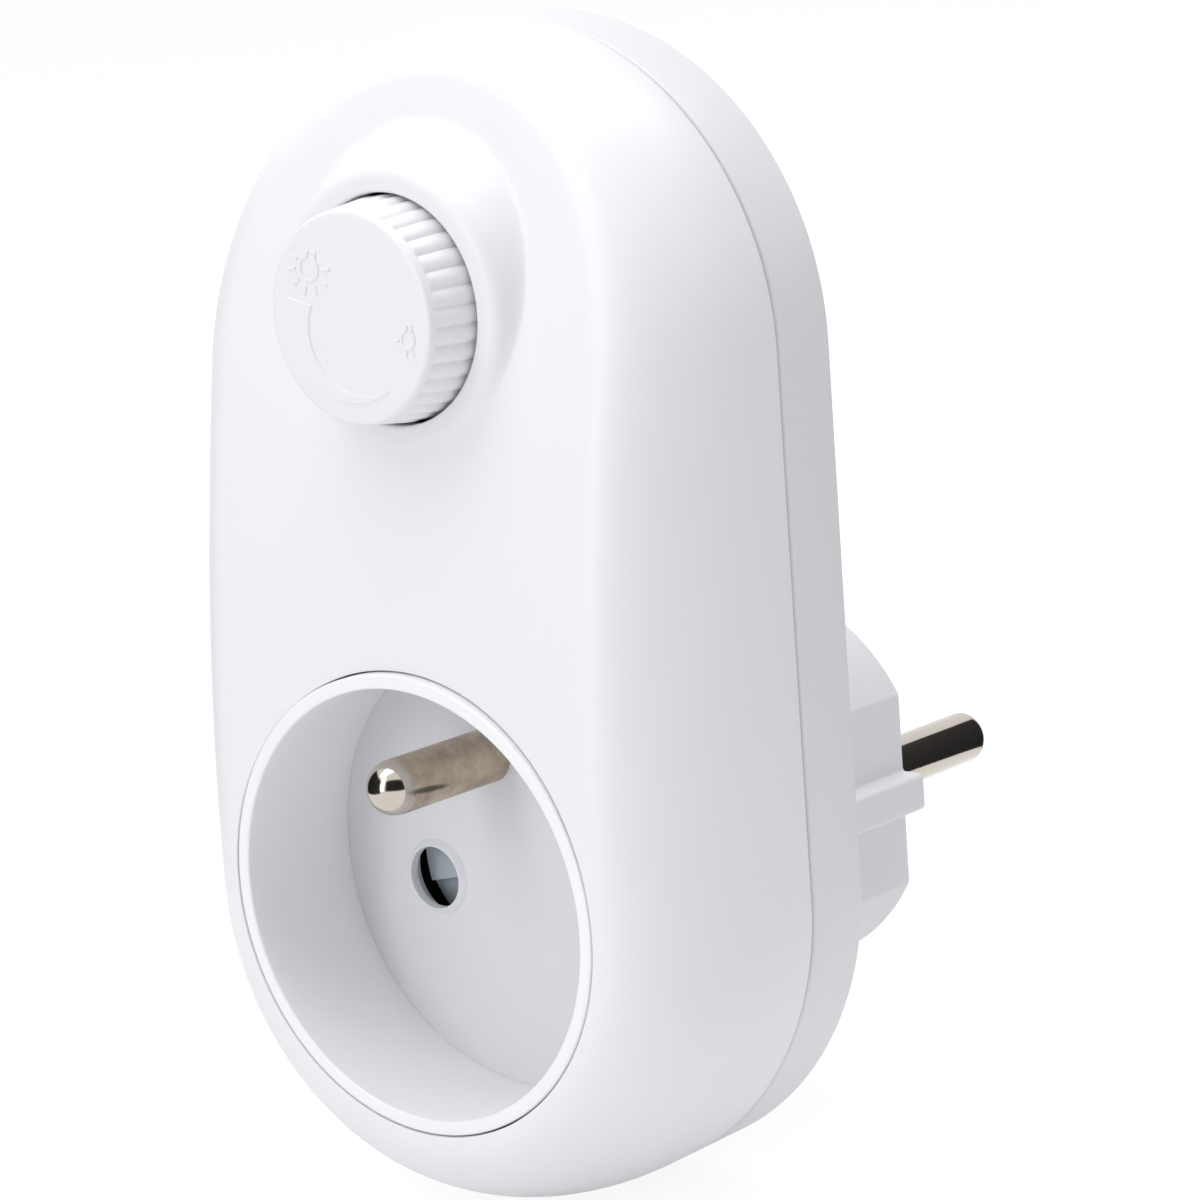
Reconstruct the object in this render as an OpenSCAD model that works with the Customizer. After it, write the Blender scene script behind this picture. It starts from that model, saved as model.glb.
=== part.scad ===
// Plug-in dimmer: a round-ended body with a turning knob, a socket with an earth pin in front
// and a two-pin plug behind. Millimetres, +Z up, +X to the right seen from the front, +Y into the
// wall. The origin is the middle of the plug's end face, between the two pins.

/* [Body] */
// Width of the body
body_w = 56; // [55.6:0.1:57]
// Height of the body
body_h = 102; // [101:0.5:106]
// Depth from the socket rim back to the parting line
front_depth = 19.5; // [19.2:0.1:20.5]
// Depth of the rear cover
rear_depth = 7.1; // [6.8:0.1:7.5]
// Wall of the two mouldings
wall = 2.2; // [2:0.1:2.4]
// Width of the rounded front edge, seen from the front
edge_w = 8; // [7:0.1:8]
// Depth of the rounded front edge, seen from the side
edge_d = 16; // [12:0.5:17]
// How much narrower the rounded edge is at the very top
edge_top_loss = 3.5; // [2:0.1:4]
// Radius of the slow curve that leans the front face back above the socket
lean_r = 225; // [220:1:300]
// Rounding of the rear cover's back edge
back_edge_r = 0.5; // [0.4:0.1:1]
// Gap that shows as a thin line between the two mouldings
seam = 0.25; // [0.2:0.05:0.4]

/* [Socket] */
// Radius of the recess at its mouth
recess_r = 18.75; // [18.6:0.05:18.8]
// Depth of the recess
recess_depth = 14; // [13.5:0.1:14.2]
// Radius of the rim outside the recess
rim_r = 20; // [19.95:0.05:20.05]
// Radius of each contact hole
contact_hole_r = 2.8; // [2.7:0.05:2.9]
// Turn of the socket insert in the housing, anticlockwise seen from the front
insert_turn = 12.3; // [0:0.1:15]
// Height of the socket axis above the centre of the lower round end
socket_rise = 1; // [0.5:0.1:1.5]

/* [Plug] */
// Radius of the plug body
plug_r = 18.1; // [17.9:0.05:18.2]
// Distance of the plug's side flats from its centre
plug_flat = 15.8; // [15.7:0.1:16]
// Height of the plug body behind the rear cover
plug_depth = 23.7; // [23.5:0.1:24]
// Width of the guide rib on each flat
key_w = 3.4; // [2.5:0.1:3.6]
// Radius of the pins
pin_r = 2.4; // [2.4:0.05:2.45]
// Length of the plug pins
pin_len = 19.4; // [18.5:0.1:19.5]
// Distance between pin centres
pin_pitch = 19; // [18.9:0.05:19.1]
// Distance of the earth pin from the line of the contacts
earth_pitch = 10; // [9.9:0.05:10.1]

/* [Knob] */
// Height of the knob axis above the socket axis
knob_z = 50.15; // [49.5:0.05:51]
// Radius of the knob at its face
knob_face_r = 8.85; // [8.7:0.05:9]
// Radius of the knob where it enters the housing
knob_base_r = 9.45; // [9.3:0.05:9.5]
// How far the knob face stands in front of the socket rim
knob_proud = 1.1; // [0.8:0.1:1.6]
// Number of grip grooves round the knob
knob_grooves = 36; // [30:1:40]
// Radius of the hole round the knob
knob_hole_r = 9.8; // [9.8:0.05:10]
// How far the crest of the knob boss lies behind the socket rim
boss_set = 3.5; // [3.2:0.1:3.8]

/* [Hidden] */
$fn = 64;

// Gaps: a pressed fit, a turning fit, a loose fit and a free fit
press_gap = 0.02;
shaft_gap = 0.05;
loose_gap = 0.1;
free_gap = 0.2;
// How far a cut reaches past a face, and how far joined shapes run into each other
past = 1;
join = 0.5;

// Stations along Y, from the plug's end face forwards
back_y = -plug_depth;
part_y = back_y - rear_depth;
rim_y = part_y - front_depth;
floor_y = rim_y + recess_depth;
// Centres of the two round ends
end_r = body_w / 2;
low_z = -socket_rise;
top_z = low_z + body_h - body_w;
// Points on each straight side and each half circle of the outline
side_steps = 8;
arc_steps = 24;
outline_n = 2 * (side_steps + arc_steps);
// Least straight band of the front housing at the parting line
least_band = 1;
// Outline radii of the rings that carry the middle of the front face
face_rings = [0.6, 6, 11.5];
// Rounding of the rear cover's front edge, which catches the light beside the parting line
cover_edge_r = 0.35;

// Socket insert
floor_t = 2;
floor_back = floor_y + floor_t;
floor_corner = 0.5;
recess_taper = 0.25;
lip = 0.25;
insert_skirt_y = floor_y + 7;
insert_cavity_r = 18.4;
seat_y = rim_y + 3.6;
seat_r = 21.9;
flange_r = 20.95;
flange_t = 1.5;
insert_gap = 0.15;
// Shallow dish round each contact hole, the wall of the hole, and the relief behind it
dish_w = 1.1;
dish_depth = 0.3;
hole_wall = 0.9;
hole_relief = 1.2;
pivot_r = 1.6;
carrier_boss_at = 15.9;
carrier_boss_r = 2;
earth_proud = 0.6;
earth_tail_r = 1.3;

// Shutter and the carrier behind it
shutter_gap = 0.2;
shutter_t = 2;
shutter_y = floor_back + shutter_gap;
shutter_back = shutter_y + shutter_t;
shutter_reach = 11.7;
shutter_bevel = 0.3;
shutter_hub_r = 4.2;
wing_angle = 19;
ramp_step = 0.7;
ramp_angle = 16;
carrier_y = shutter_back + shutter_gap;
carrier_t = 3;
carrier_back = carrier_y + carrier_t;
carrier_r = 18.1;
spring_pocket_r = 4.4;
spring_pocket_depth = 2.2;
spring_r = 3.3;
spring_wire_r = 0.25;
spring_post_at = 5.3;
spring_post_r = 0.5;
contact_r = 2.5;
contact_t = 0.7;
contact_back = -15.5;
pocket_gap = 0.2;
pocket_t = 0.9;
shank_r = 2;

// Plug
plug_end_t = 3;
plug_hollow_r = 15.4;
plug_hollow_flat = 13.7;
plug_chamfer = 0.4;
pin_round = 1.2;
pin_flange_r = 3;
earth_hole_r = 2.7;
strap_w = 6;
strap_t = 0.8;
strap_groove = 17.1;
groove_end_y = -1;
strap_y = back_y + 1.1;
bridge_w = 9;
rivet_at = [1.4, earth_pitch + 3.6];
rivet_r = 1;
shank_y = -plug_end_t - 5;
solder_r = 1.4;

// Fasteners
post_r = 2.5;
post_low = [16.2, low_z - 16.2];
post_high = [15.5, top_z + 16.5];
screw_r = 1.08;
screw_head_r = 2.7;
screw_head_t = 1.7;
screw_len = 12.5;
sleeve_r = 3.3;
screw_gap = 0.3;
board_post = [21.3, 28];
board_post_r = 2.2;
small_screw_r = 0.88;

// Circuit board and potentiometer
board_front = part_y + 0.3;
board_t = 1.6;
board_back = board_front + board_t;
board_low = 22.2;
board_r = 24;
pot_r = 8;
pot_base_y = board_front - 1.6;
pot_front_y = board_front - 6.2;
shaft_r = 3;
shaft_front_y = rim_y + 2.1;
d_flat = 1.7;
flat_end_y = pot_front_y - 3.6;

// Wire ends that pass through the board, as [x, z]
film_leads = [[2.5, 27.2], [17.5, 27.2]];
timing_z = [47, 54];
timing_leads = [for (z = timing_z) each [[13.2, z], [18.3, z]]];
resistor_x = [11, 14.5, 18];
resistor_z = [38.2, 43.3];
resistor_leads = [for (x = resistor_x) each [[x, resistor_z[0]], [x, resistor_z[1]]]];
diac_leads = [[21.6, 42.6], [21.6, 49]];
film_wire_r = 0.4;
wire_r = 0.3;
diac_wire_r = 0.25;
lead_stub = 0.6;

// Triac and choke
triac_at = [-15.2, 46.4];
tab_hole_up = 6.8;
tab_t = 1.3;
sink_y = board_front - 2.2;
triac_screw_r = 1.25;
choke_at = [-11.2, 30.2];
core_r = [3.5, 6.6];
core_y = [board_front - 7.6, board_front - 1.2];
fuse_at = [board_front - 3.6, 34.6];
fuse_len = 20;
fuse_r = 2.4;
cap_r = 2.6;
lead_r = 0.9;

// Knob
knob_y = rim_y - knob_proud;
knob_skirt_y = rim_y + 6;
knob_edge = 0.4;
knob_wall = 1.4;
hub_r = 4.6;
hub_back_y = rim_y + 7.4;
groove_r = 0.45;
groove_lift = 0.1;
groove_start = 0.75;
groove_past = 1.2;
boss_y = rim_y + boss_set;
boss_soft = 1.6;
boss_top_r = 12.4;
boss_foot_r = 14.7;
boss_inner_r = 12.2;
boss_height = 5.4;
boss_foot_t = 0.8;

// A solid bar of the outline below, from one station along Y to another
module along_y(from, to) {
  translate([0, to, 0]) rotate([90, 0, 0]) linear_extrude(to - from) children();
}

// A round bar along Y, with its axis at [x, z]
module rod(r, from, to, at = [0, 0]) {
  translate([at[0], from, at[1]]) rotate([-90, 0, 0]) cylinder(r = r, h = to - from);
}

// A solid of revolution about Y, from a profile of [radius, y] points
module turned(at = [0, 0]) {
  translate([at[0], 0, at[1]]) rotate([-90, 0, 0]) rotate_extrude() children();
}

// A box from its lowest corner to its highest
module block(low, high) {
  translate(low) cube(high - low);
}

// Both mirror images of a piece, left and right
module pair() {
  children();
  mirror([1, 0, 0]) children();
}

// A piece and its image below the middle of the plug
module top_and_bottom() {
  children();
  mirror([0, 0, 1]) children();
}

// The turn of the socket insert about its own axis
module insert_turned() {
  rotate([0, -insert_turn, 0]) children();
}

// Points of a quarter circle of radius r about a centre, between two angles
function arc(c, r, a0, a1, n = 6) = [
  for (k = [0:n]) let (a = a0 + (a1 - a0) * k / n) c + r * [cos(a), sin(a)]
];

// Point i of the round-ended outline whose ends have radius r, as [x, z]
function edge_pt(i, r) =
  i >= outline_n / 2 ? [0, low_z + top_z] - edge_pt(i - outline_n / 2, r)
  : i < side_steps ? [r, low_z + (top_z - low_z) * i / side_steps]
  : let (a = 180 * (i - side_steps) / arc_steps) [r * cos(a), top_z + r * sin(a)];

function outline(r) = [for (i = [0:outline_n - 1]) edge_pt(i, r)];

// A ring of the outline in one plane across Y
function flat_ring(r, y) = [for (p = outline(r)) [p[0], y, p[1]]];

// How far the front face lies behind the rim plane at height z
function lean(z) = pow(max(z, 0), 2) / (2 * lean_r);

// Depth of the rounded edge, which shrinks where the leaning face nears the parting line
function edge_depth(z) = min(edge_d, front_depth - lean(z) - least_band);

// Width of the rounded edge, which shrinks towards the top
function edge_width(z) = edge_w - edge_top_loss * pow(max(z - top_z, 0) / end_r, 2);

// A ring of the front skin, set in by s: a is 0 at the side wall and 90 where the face begins
function edge_ring(s, a) = [
  for (i = [0:outline_n - 1])
    let (z = edge_pt(i, end_r)[1])
    let (p = edge_pt(i, end_r - s - (edge_width(z) - s) * (1 - cos(a))))
    [p[0], rim_y + s + lean(p[1]) + (edge_depth(z) - s) * (1 - sin(a)), p[1]]
];

// A ring of the front face itself, at a given outline radius
function face_ring(s, r) = [for (p = outline(r)) [p[0], rim_y + s + lean(p[1]), p[1]]];

// All rings of the front skin from the middle of the face to the back
function front_skin(s, to_y) = concat(
  [for (r = face_rings) face_ring(s, r)],
  [for (a = [90:-10:0]) edge_ring(s, a)],
  [flat_ring(end_r - s, to_y)]
);

// All rings of the rear cover's outside, from the parting line to the back
function rear_skin() =
  let (front = part_y + seam / 2)
  [
    for (p = concat(
      arc([end_r - cover_edge_r, front + cover_edge_r], cover_edge_r, -90, 0, 3),
      arc([end_r - back_edge_r, back_y - back_edge_r], back_edge_r, 0, 90, 4)
    )) flat_ring(p[0], p[1])
  ];

// The mirror image of outline point i across the middle of the body
function across(i) = (2 * side_steps + arc_steps - i + 2 * outline_n) % outline_n;

// A closed solid through a list of rings, from the front to the back
module loft(rings) {
  n = outline_n;
  last = len(rings) - 1;
  foot = -arc_steps / 2;
  head = side_steps + arc_steps / 2;
  cap = [
    for (i = [foot:head - 1])
      let (a = (i + n) % n, b = (i + 1 + n) % n)
      each concat(
        i + 1 < head ? [[b, a, across(b)]] : [],
        i > foot ? [[a, across(a), across(b)]] : []
      )
  ];
  sides = [
    for (k = [0:last - 1])
      for (i = [0:n - 1])
        let (a = k * n + i, b = k * n + (i + 1) % n)
        each [[a, b, a + n], [b, b + n, a + n]]
  ];
  back = [for (f = cap) [f[0], f[2], f[1]] + last * n * [1, 1, 1]];
  polyhedron([for (r = rings) each r], concat(cap, sides, back));
}

// A round tube of many sides along a route, where up is never along the route
module wire(route, r, up, sides = 8) {
  last = len(route) - 1;
  function unit(v) = v / norm(v);
  rings = [
    for (k = [0:last])
      let (t = unit(route[min(k + 1, last)] - route[max(k - 1, 0)]))
      let (u = unit(up - t * (up * t)))
      let (v = cross(t, u))
      [for (i = [0:sides - 1]) route[k] + r * (u * cos(360 * i / sides) + v * sin(360 * i / sides))]
  ];
  walls = [
    for (k = [0:last - 1])
      for (i = [0:sides - 1])
        let (a = k * sides + i, b = k * sides + (i + 1) % sides)
        each [[a, a + sides, b], [b, a + sides, b + sides]]
  ];
  start = [[for (i = [0:sides - 1]) i]];
  end = [[for (i = [sides - 1:-1:0]) last * sides + i]];
  polyhedron([for (ring = rings) each ring], concat(start, walls, end));
}

// The four places of the housing screws
module at_posts() {
  pair() {
    translate([post_low[0], 0, post_low[1]]) children();
    translate([post_high[0], 0, post_high[1]]) children();
  }
}

// The two places of the board screws
module at_board_posts() {
  pair() translate([board_post[0], 0, board_post[1]]) children();
}

// The two places of the socket contacts, each facing outwards
module at_contacts() {
  insert_turned() for (side = [0, 180]) rotate([0, side, 0]) translate([pin_pitch / 2, 0, 0]) children();
}

// The two places of the carrier screws
module at_carrier_bosses() {
  insert_turned() for (side = [-1, 1]) translate([0, 0, side * carrier_boss_at]) children();
}

// Ring of the housing that stands up round the knob, with a soft outer edge
module knob_boss() {
  hole_r = knob_hole_r - join;
  foot_y = boss_y + boss_height;
  turned([0, knob_z]) polygon(concat(
    [[hole_r, boss_y]],
    arc([boss_top_r - boss_soft, boss_y + boss_soft], boss_soft, -90, -20),
    [[boss_foot_r, foot_y], [boss_foot_r, foot_y + boss_foot_t], [boss_inner_r, foot_y + boss_foot_t]],
    [[boss_inner_r, boss_y + wall], [hole_r, boss_y + wall]]
  ));
}

module front_housing() {
  pilot_depth = 8;
  board_pilot_depth = 6.5;
  rear = part_y - seam / 2;
  color("#f3f4f6") difference() {
    union() {
      difference() {
        loft(front_skin(0, rear));
        loft(front_skin(wall, part_y + past));
      }
      intersection() {
        loft(front_skin(wall / 2, part_y + past));
        union() {
          at_posts() rod(post_r, rim_y, rear);
          at_board_posts() rod(board_post_r, rim_y, board_front);
          rod(seat_r, rim_y, seat_y);
        }
      }
      knob_boss();
    }
    rod(rim_r + insert_gap, rim_y - past, seat_y + past);
    rod(knob_hole_r, rim_y, boss_y + boss_height + boss_foot_t + past, [0, knob_z]);
    at_posts() rod(screw_r + press_gap, part_y - pilot_depth, part_y + past);
    at_board_posts() rod(small_screw_r + press_gap, board_front - board_pilot_depth, board_front + past);
  }
}

// A circle cut to a given half width
module flatted(r, half_w) {
  intersection() {
    circle(r);
    square([2 * half_w, 2 * r], center = true);
  }
}

// Section across the plug body: a circle with two flats, and a guide rib on each flat
module plug_section() {
  intersection() {
    circle(plug_r);
    union() {
      square([2 * plug_flat, 2 * plug_r], center = true);
      square([2 * plug_r, key_w], center = true);
    }
  }
}

module plug_body() {
  intersection() {
    along_y(back_y - wall, 0) plug_section();
    turned() polygon([
      [0, back_y - wall], [plug_r + past, back_y - wall], [plug_r + past, -plug_chamfer - past],
      [plug_r - plug_chamfer, 0], [0, 0]
    ]);
  }
}

module rear_cover() {
  front = part_y + seam / 2;
  inside = back_y - wall;
  tongue_r = end_r - wall - loose_gap;
  tongue_t = 1.4;
  tongue_y = part_y - 2;
  tongue_root = part_y + 2;
  post_gap = 0.4;
  ring_out = rim_r - loose_gap;
  ring_in = insert_cavity_r + loose_gap;
  notch_x = 13;
  pin_boss_r = 4.2;
  pin_boss_y = -plug_end_t - 3;
  groove_x = strap_w / 2 + loose_gap;
  color("#f0f1f3") difference() {
    union() {
      difference() {
        loft(rear_skin());
        along_y(part_y - past, inside) polygon(outline(end_r - wall));
      }
      difference() {
        union() {
          along_y(tongue_y, tongue_root) polygon(outline(tongue_r));
          along_y(front, tongue_root) polygon(outline(tongue_r + join));
        }
        along_y(tongue_y - past, tongue_root + past) polygon(outline(tongue_r - tongue_t));
        at_posts() rod(post_r + post_gap, tongue_y - past, front);
      }
      at_posts() rod(sleeve_r, front, back_y - wall / 2);
      difference() {
        rod(ring_out, insert_skirt_y + loose_gap, back_y - wall / 2);
        rod(ring_in, insert_skirt_y - past, back_y);
        block([-notch_x, insert_skirt_y - past, 0], [notch_x, inside, rim_r + past]);
      }
      plug_body();
    }
    difference() {
      along_y(inside - past, -plug_end_t) flatted(plug_hollow_r, plug_hollow_flat);
      pair() rod(pin_boss_r, pin_boss_y, 0, [pin_pitch / 2, 0]);
    }
    pair() rod(shank_r + press_gap, pin_boss_y - past, past, [pin_pitch / 2, 0]);
    rod(earth_hole_r, -plug_end_t - past, past, [0, earth_pitch]);
    top_and_bottom() {
      block([-groove_x, back_y, strap_groove], [groove_x, groove_end_y, plug_r + past]);
      block(
        [-groove_x, strap_y - loose_gap, plug_hollow_r - past],
        [groove_x, strap_y + strap_t + loose_gap, plug_r + past]
      );
    }
    at_posts() rod(screw_r + screw_gap, part_y - past, back_y + past);
    at_posts() rod(screw_head_r + free_gap, back_y - screw_head_t - free_gap, back_y + past);
  }
}

module socket_insert() {
  pilot_r = 0.8;
  pilot_y = floor_y + 0.8;
  color("#eceef1") insert_turned() difference() {
    union() {
      turned() polygon(concat(
        [[0, floor_y], [recess_r - recess_taper - floor_corner, floor_y]],
        arc([recess_r - recess_taper - floor_corner, floor_y - floor_corner], floor_corner, 90, 0),
        [[recess_r, rim_y + lip], [recess_r + lip, rim_y], [rim_r - lip, rim_y], [rim_r, rim_y + lip]],
        [[rim_r, seat_y], [flange_r, seat_y], [flange_r, seat_y + flange_t], [rim_r, seat_y + flange_t]],
        [[rim_r, insert_skirt_y], [insert_cavity_r, insert_skirt_y]],
        [[insert_cavity_r, floor_back], [0, floor_back]]
      ));
      rod(pivot_r, floor_back - join, carrier_y + past);
      for (side = [-1, 1]) rod(carrier_boss_r, floor_back - join, carrier_y, [0, side * carrier_boss_at]);
    }
    for (side = [-1, 1]) {
      hole_at = [side * pin_pitch / 2, 0];
      rod(contact_hole_r, floor_y - past, floor_back + past, hole_at);
      rod(contact_hole_r + hole_relief, floor_y + dish_depth + hole_wall, floor_back + past, hole_at);
      translate([hole_at[0], floor_y, 0]) rotate([-90, 0, 0])
        cylinder(r1 = contact_hole_r + dish_w, r2 = contact_hole_r, h = dish_depth);
      rod(pilot_r, pilot_y, carrier_y + past, [0, side * carrier_boss_at]);
    }
    rod(shank_r + press_gap, floor_y - past, floor_back + past, [0, earth_pitch]);
  }
}

module socket_earth_pin() {
  tip_y = rim_y - earth_proud;
  tail_y = strap_y + strap_t + 0.6;
  color("#a59a90") insert_turned() turned([0, earth_pitch]) polygon(concat(
    arc([0, tip_y + pin_r], pin_r, -90, 0, 10),
    [[pin_r, floor_y], [shank_r, floor_y], [shank_r, carrier_y]],
    [[earth_tail_r, carrier_y], [earth_tail_r, tail_y], [0, tail_y]]
  ));
}

// Two wings on a hub: each closes a contact hole, and a stepped ramp on each turns the pin's push aside
module shutter() {
  ramp_start = 0.6;
  ramp_size = [12, 5, 8];
  post_len = 1.4;
  arm = 0.8;
  wing = 20;
  color("#b9c2c8") insert_turned() {
    difference() {
      union() {
        rod(shutter_hub_r, shutter_y, shutter_back);
        intersection() {
          turned() polygon([
            [0, shutter_y], [shutter_reach - shutter_bevel, shutter_y],
            [shutter_reach, shutter_y + shutter_bevel], [shutter_reach, shutter_back], [0, shutter_back]
          ]);
          along_y(shutter_y - past, shutter_back + past) for (side = [-wing, wing]) polygon([
            [0, 0], side * [cos(wing_angle), -sin(wing_angle)], side * [cos(wing_angle), sin(wing_angle)]
          ]);
        }
        rotate([0, 90, 0]) {
          rod(spring_post_r, shutter_back - join, shutter_back + post_len, [spring_post_at, 0]);
          block([0, shutter_y + arm, -arm], [spring_post_at + arm, shutter_back, arm]);
        }
      }
      rod(pivot_r + shaft_gap, shutter_y - past, shutter_back + past);
      for (side = [0, 180]) rotate([0, side, 0])
        translate([shutter_hub_r + past, shutter_y + ramp_step, ramp_start])
          for (tilt = [0, -ramp_angle]) rotate([tilt, 0, 0])
            block([0, -ramp_size[1], 0], [ramp_size[0], 0, ramp_size[2]]);
    }
  }
}

// Coil round the pivot with one leg on the shutter's post and one in the carrier
module shutter_spring() {
  steps = 20;
  pitch = 0.62;
  first_y = carrier_y + 0.45;
  leg_end = 5.9;
  leg_bend = 4.6;
  coil_from = -80;
  coil_turn = 640;
  bend_turn = [18, 17];
  end_turn = 19.5;
  coil_to = coil_from + coil_turn;
  last_y = first_y + pitch * coil_turn / 360;
  function at(r, a, y) = [r * cos(a), y, r * sin(a)];
  coil = [
    for (k = [0:2 * steps])
      let (t = k / (2 * steps))
      at(spring_r, coil_from + coil_turn * t, first_y + (last_y - first_y) * t)
  ];
  route = concat(
    [at(leg_end, coil_from - end_turn, first_y), at(leg_bend, coil_from - bend_turn[0], first_y)], coil,
    [at(leg_bend, coil_to + bend_turn[1], last_y), at(leg_end, coil_to + end_turn, last_y)]
  );
  color("#c9ccd0") insert_turned() wire(route, spring_wire_r, [0, 1, 0], 6);
}

module contact_carrier() {
  pocket_r = contact_r + contact_t + pocket_gap;
  pocket_back = contact_back - 1.5;
  pocket_y = carrier_y + 1.5;
  pivot_depth = 1.3;
  swing = 62;
  swing_reach = 12;
  pin_gap = 0.4;
  tail_hole_r = earth_tail_r + free_gap;
  front = carrier_y - past;
  color("#d8dade") difference() {
    union() {
      rod(carrier_r, carrier_y, carrier_back);
      at_contacts() rod(pocket_r + pocket_t, carrier_back - join, pocket_back);
    }
    insert_turned() {
      rod(pivot_r + loose_gap, front, carrier_y + pivot_depth);
      rod(spring_pocket_r, front, carrier_y + spring_pocket_depth);
      rotate([0, 90, 0]) along_y(front, carrier_y + spring_pocket_depth) intersection() {
        circle(spring_post_at + past);
        polygon(swing_reach * [[0, 0], [cos(swing), -sin(swing)], [1, 0], [cos(swing), sin(swing)]]);
      }
      rod(tail_hole_r, front, carrier_back + past, [0, earth_pitch]);
    }
    at_contacts() {
      rod(pin_r + pin_gap, front, pocket_y + join);
      rod(pocket_r, pocket_y, pocket_back + past);
    }
    at_carrier_bosses() rod(small_screw_r + free_gap, front, carrier_back + past);
  }
}

// A slit sleeve with a solder tail, drawn at the origin
module contact_sleeve() {
  slit = 0.9;
  slit_end = contact_back - 4;
  tail_w = 3;
  tail_t = 0.8;
  tail_len = 3.5;
  end_t = 0.8;
  front = carrier_y + 1.8;
  outer_r = contact_r + contact_t;
  difference() {
    rod(outer_r, front, contact_back);
    rod(contact_r, front - past, contact_back - end_t);
    block([-slit / 2, front - past, -outer_r - past], [slit / 2, slit_end, outer_r + past]);
  }
  block(
    [-tail_t / 2, contact_back - end_t / 2, -tail_w / 2],
    [tail_t / 2, contact_back + tail_len, tail_w / 2]
  );
}

module contact_line() {
  color("#c9a24a") insert_turned() translate([-pin_pitch / 2, 0, 0]) contact_sleeve();
}

module contact_neutral() {
  color("#c9a24a") insert_turned() translate([pin_pitch / 2, 0, 0]) contact_sleeve();
}

// A round pin with a domed end, a shoulder on the plug's face and a shank held in the plug
module plug_pin() {
  collar_y = -plug_end_t - 3.2;
  collar_t = 1;
  turned() polygon(concat(
    [[0, shank_y], [solder_r, shank_y], [solder_r, collar_y - collar_t], [pin_flange_r, collar_y - collar_t]],
    [[pin_flange_r, collar_y], [shank_r, collar_y], [shank_r, 0], [pin_r, 0]],
    arc([pin_r - pin_round, pin_len - pin_round], pin_round, 0, 90, 8),
    [[0, pin_len]]
  ));
}

module plug_pin_line() {
  color("#b9b6b2") translate([-pin_pitch / 2, 0, 0]) plug_pin();
}

module plug_pin_neutral() {
  color("#b9b6b2") translate([pin_pitch / 2, 0, 0]) plug_pin();
}

// One bent strip: a bridge inside the plug and a leg along the plug's top and bottom
module earth_strap() {
  leg_out = plug_r + loose_gap;
  leg_front = -2.5;
  half = strap_w / 2;
  bridge = [bridge_w / 2, plug_hollow_r - 1.5];
  strap_back = strap_y + strap_t;
  color("#c7c4bd") difference() {
    union() {
      block([-bridge[0], strap_y, -bridge[1]], [bridge[0], strap_back, bridge[1]]);
      block([-half, strap_y, -leg_out], [half, strap_back, leg_out]);
      top_and_bottom() block([-half, strap_y, leg_out - strap_t], [half, leg_front, leg_out]);
    }
    insert_turned() rod(earth_tail_r + press_gap, strap_y - past, strap_back + past, [0, earth_pitch]);
    rod(rivet_r + press_gap, strap_y - past, strap_back + past, rivet_at);
  }
}

// Slit sleeve that takes the earth pin of the wall socket, riveted to the strap
module earth_receptacle() {
  bore_r = pin_r + shaft_gap;
  mouth_y = -plug_end_t - free_gap;
  sleeve_y = -16;
  sleeve_t = 0.7;
  slit = 0.8;
  slit_y = sleeve_y + 3;
  stem_r = 1.2;
  foot_t = 0.8;
  foot_y = strap_y + strap_t;
  color("#c9a24a") {
    difference() {
      rod(bore_r + sleeve_t, sleeve_y, mouth_y, [0, earth_pitch]);
      rod(bore_r, sleeve_y + sleeve_t, mouth_y + past, [0, earth_pitch]);
      block(
        [-slit / 2, slit_y, earth_pitch - bore_r - past],
        [slit / 2, mouth_y + past, earth_pitch + bore_r + past]
      );
    }
    rod(stem_r, foot_y, sleeve_y + sleeve_t / 2, [rivet_at[0], rivet_at[1] - 2]);
    block(
      [rivet_at[0] - stem_r, foot_y, rivet_at[1] - 2 - foot_t],
      [rivet_at[0] + stem_r, foot_y + foot_t, rivet_at[1] + rivet_r]
    );
    rod(rivet_r, strap_y - join, foot_y + foot_t / 2, rivet_at);
  }
}

// Strip between the neutral pin's shank and the tail of the neutral contact
module neutral_bar() {
  t = 0.6;
  pin_x = pin_pitch / 2;
  left = pin_x - 3.5;
  right = pin_x + 2.2;
  low = -2;
  high = 4;
  tail_y = contact_back + t;
  tail_w = 2.8;
  tail_back = 2;
  pad_y = shank_y + loose_gap;
  color("#b98d3c") {
    difference() {
      block([left, pad_y, low], [right, pad_y + t, high]);
      rod(solder_r + press_gap, shank_y - past, shank_y + 2 * past, [pin_x, 0]);
    }
    block([left, tail_y, 0], [left + t, pad_y + t, high]);
    block([left, tail_y, t], [pin_x - 1.1, tail_y + tail_back, t + tail_w]);
  }
}

// Bars along Y at a list of places
module rods(places, r, from, to) {
  for (p = places) rod(r, from, to, p);
}

module circuit_board() {
  notch_r = sleeve_r + 0.4;
  front = board_front - past;
  back = board_back + past;
  color("#8a5a2b") difference() {
    along_y(board_front, board_back) intersection() {
      polygon(outline(board_r));
      translate([-board_r, board_low]) square([2 * board_r, body_h]);
    }
    pair() rod(notch_r, front, back, post_high);
    at_board_posts() rod(small_screw_r + free_gap, front, back);
    rods(concat(film_leads, timing_leads, resistor_leads, diac_leads), film_wire_r + loose_gap, front, back);
  }
}

module pot_body() {
  wafer_r = pot_r + 0.4;
  foot = [5.5, 12];
  bearing_r = 1.3;
  back = board_front - loose_gap;
  color("#4a3a2a") difference() {
    union() {
      rod(wafer_r, pot_base_y, back, [0, knob_z]);
      block([-foot[0], pot_base_y, knob_z - foot[1]], [foot[0], back, knob_z]);
    }
    rod(bearing_r, pot_base_y - past, board_front - join, [0, knob_z]);
  }
}

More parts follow.
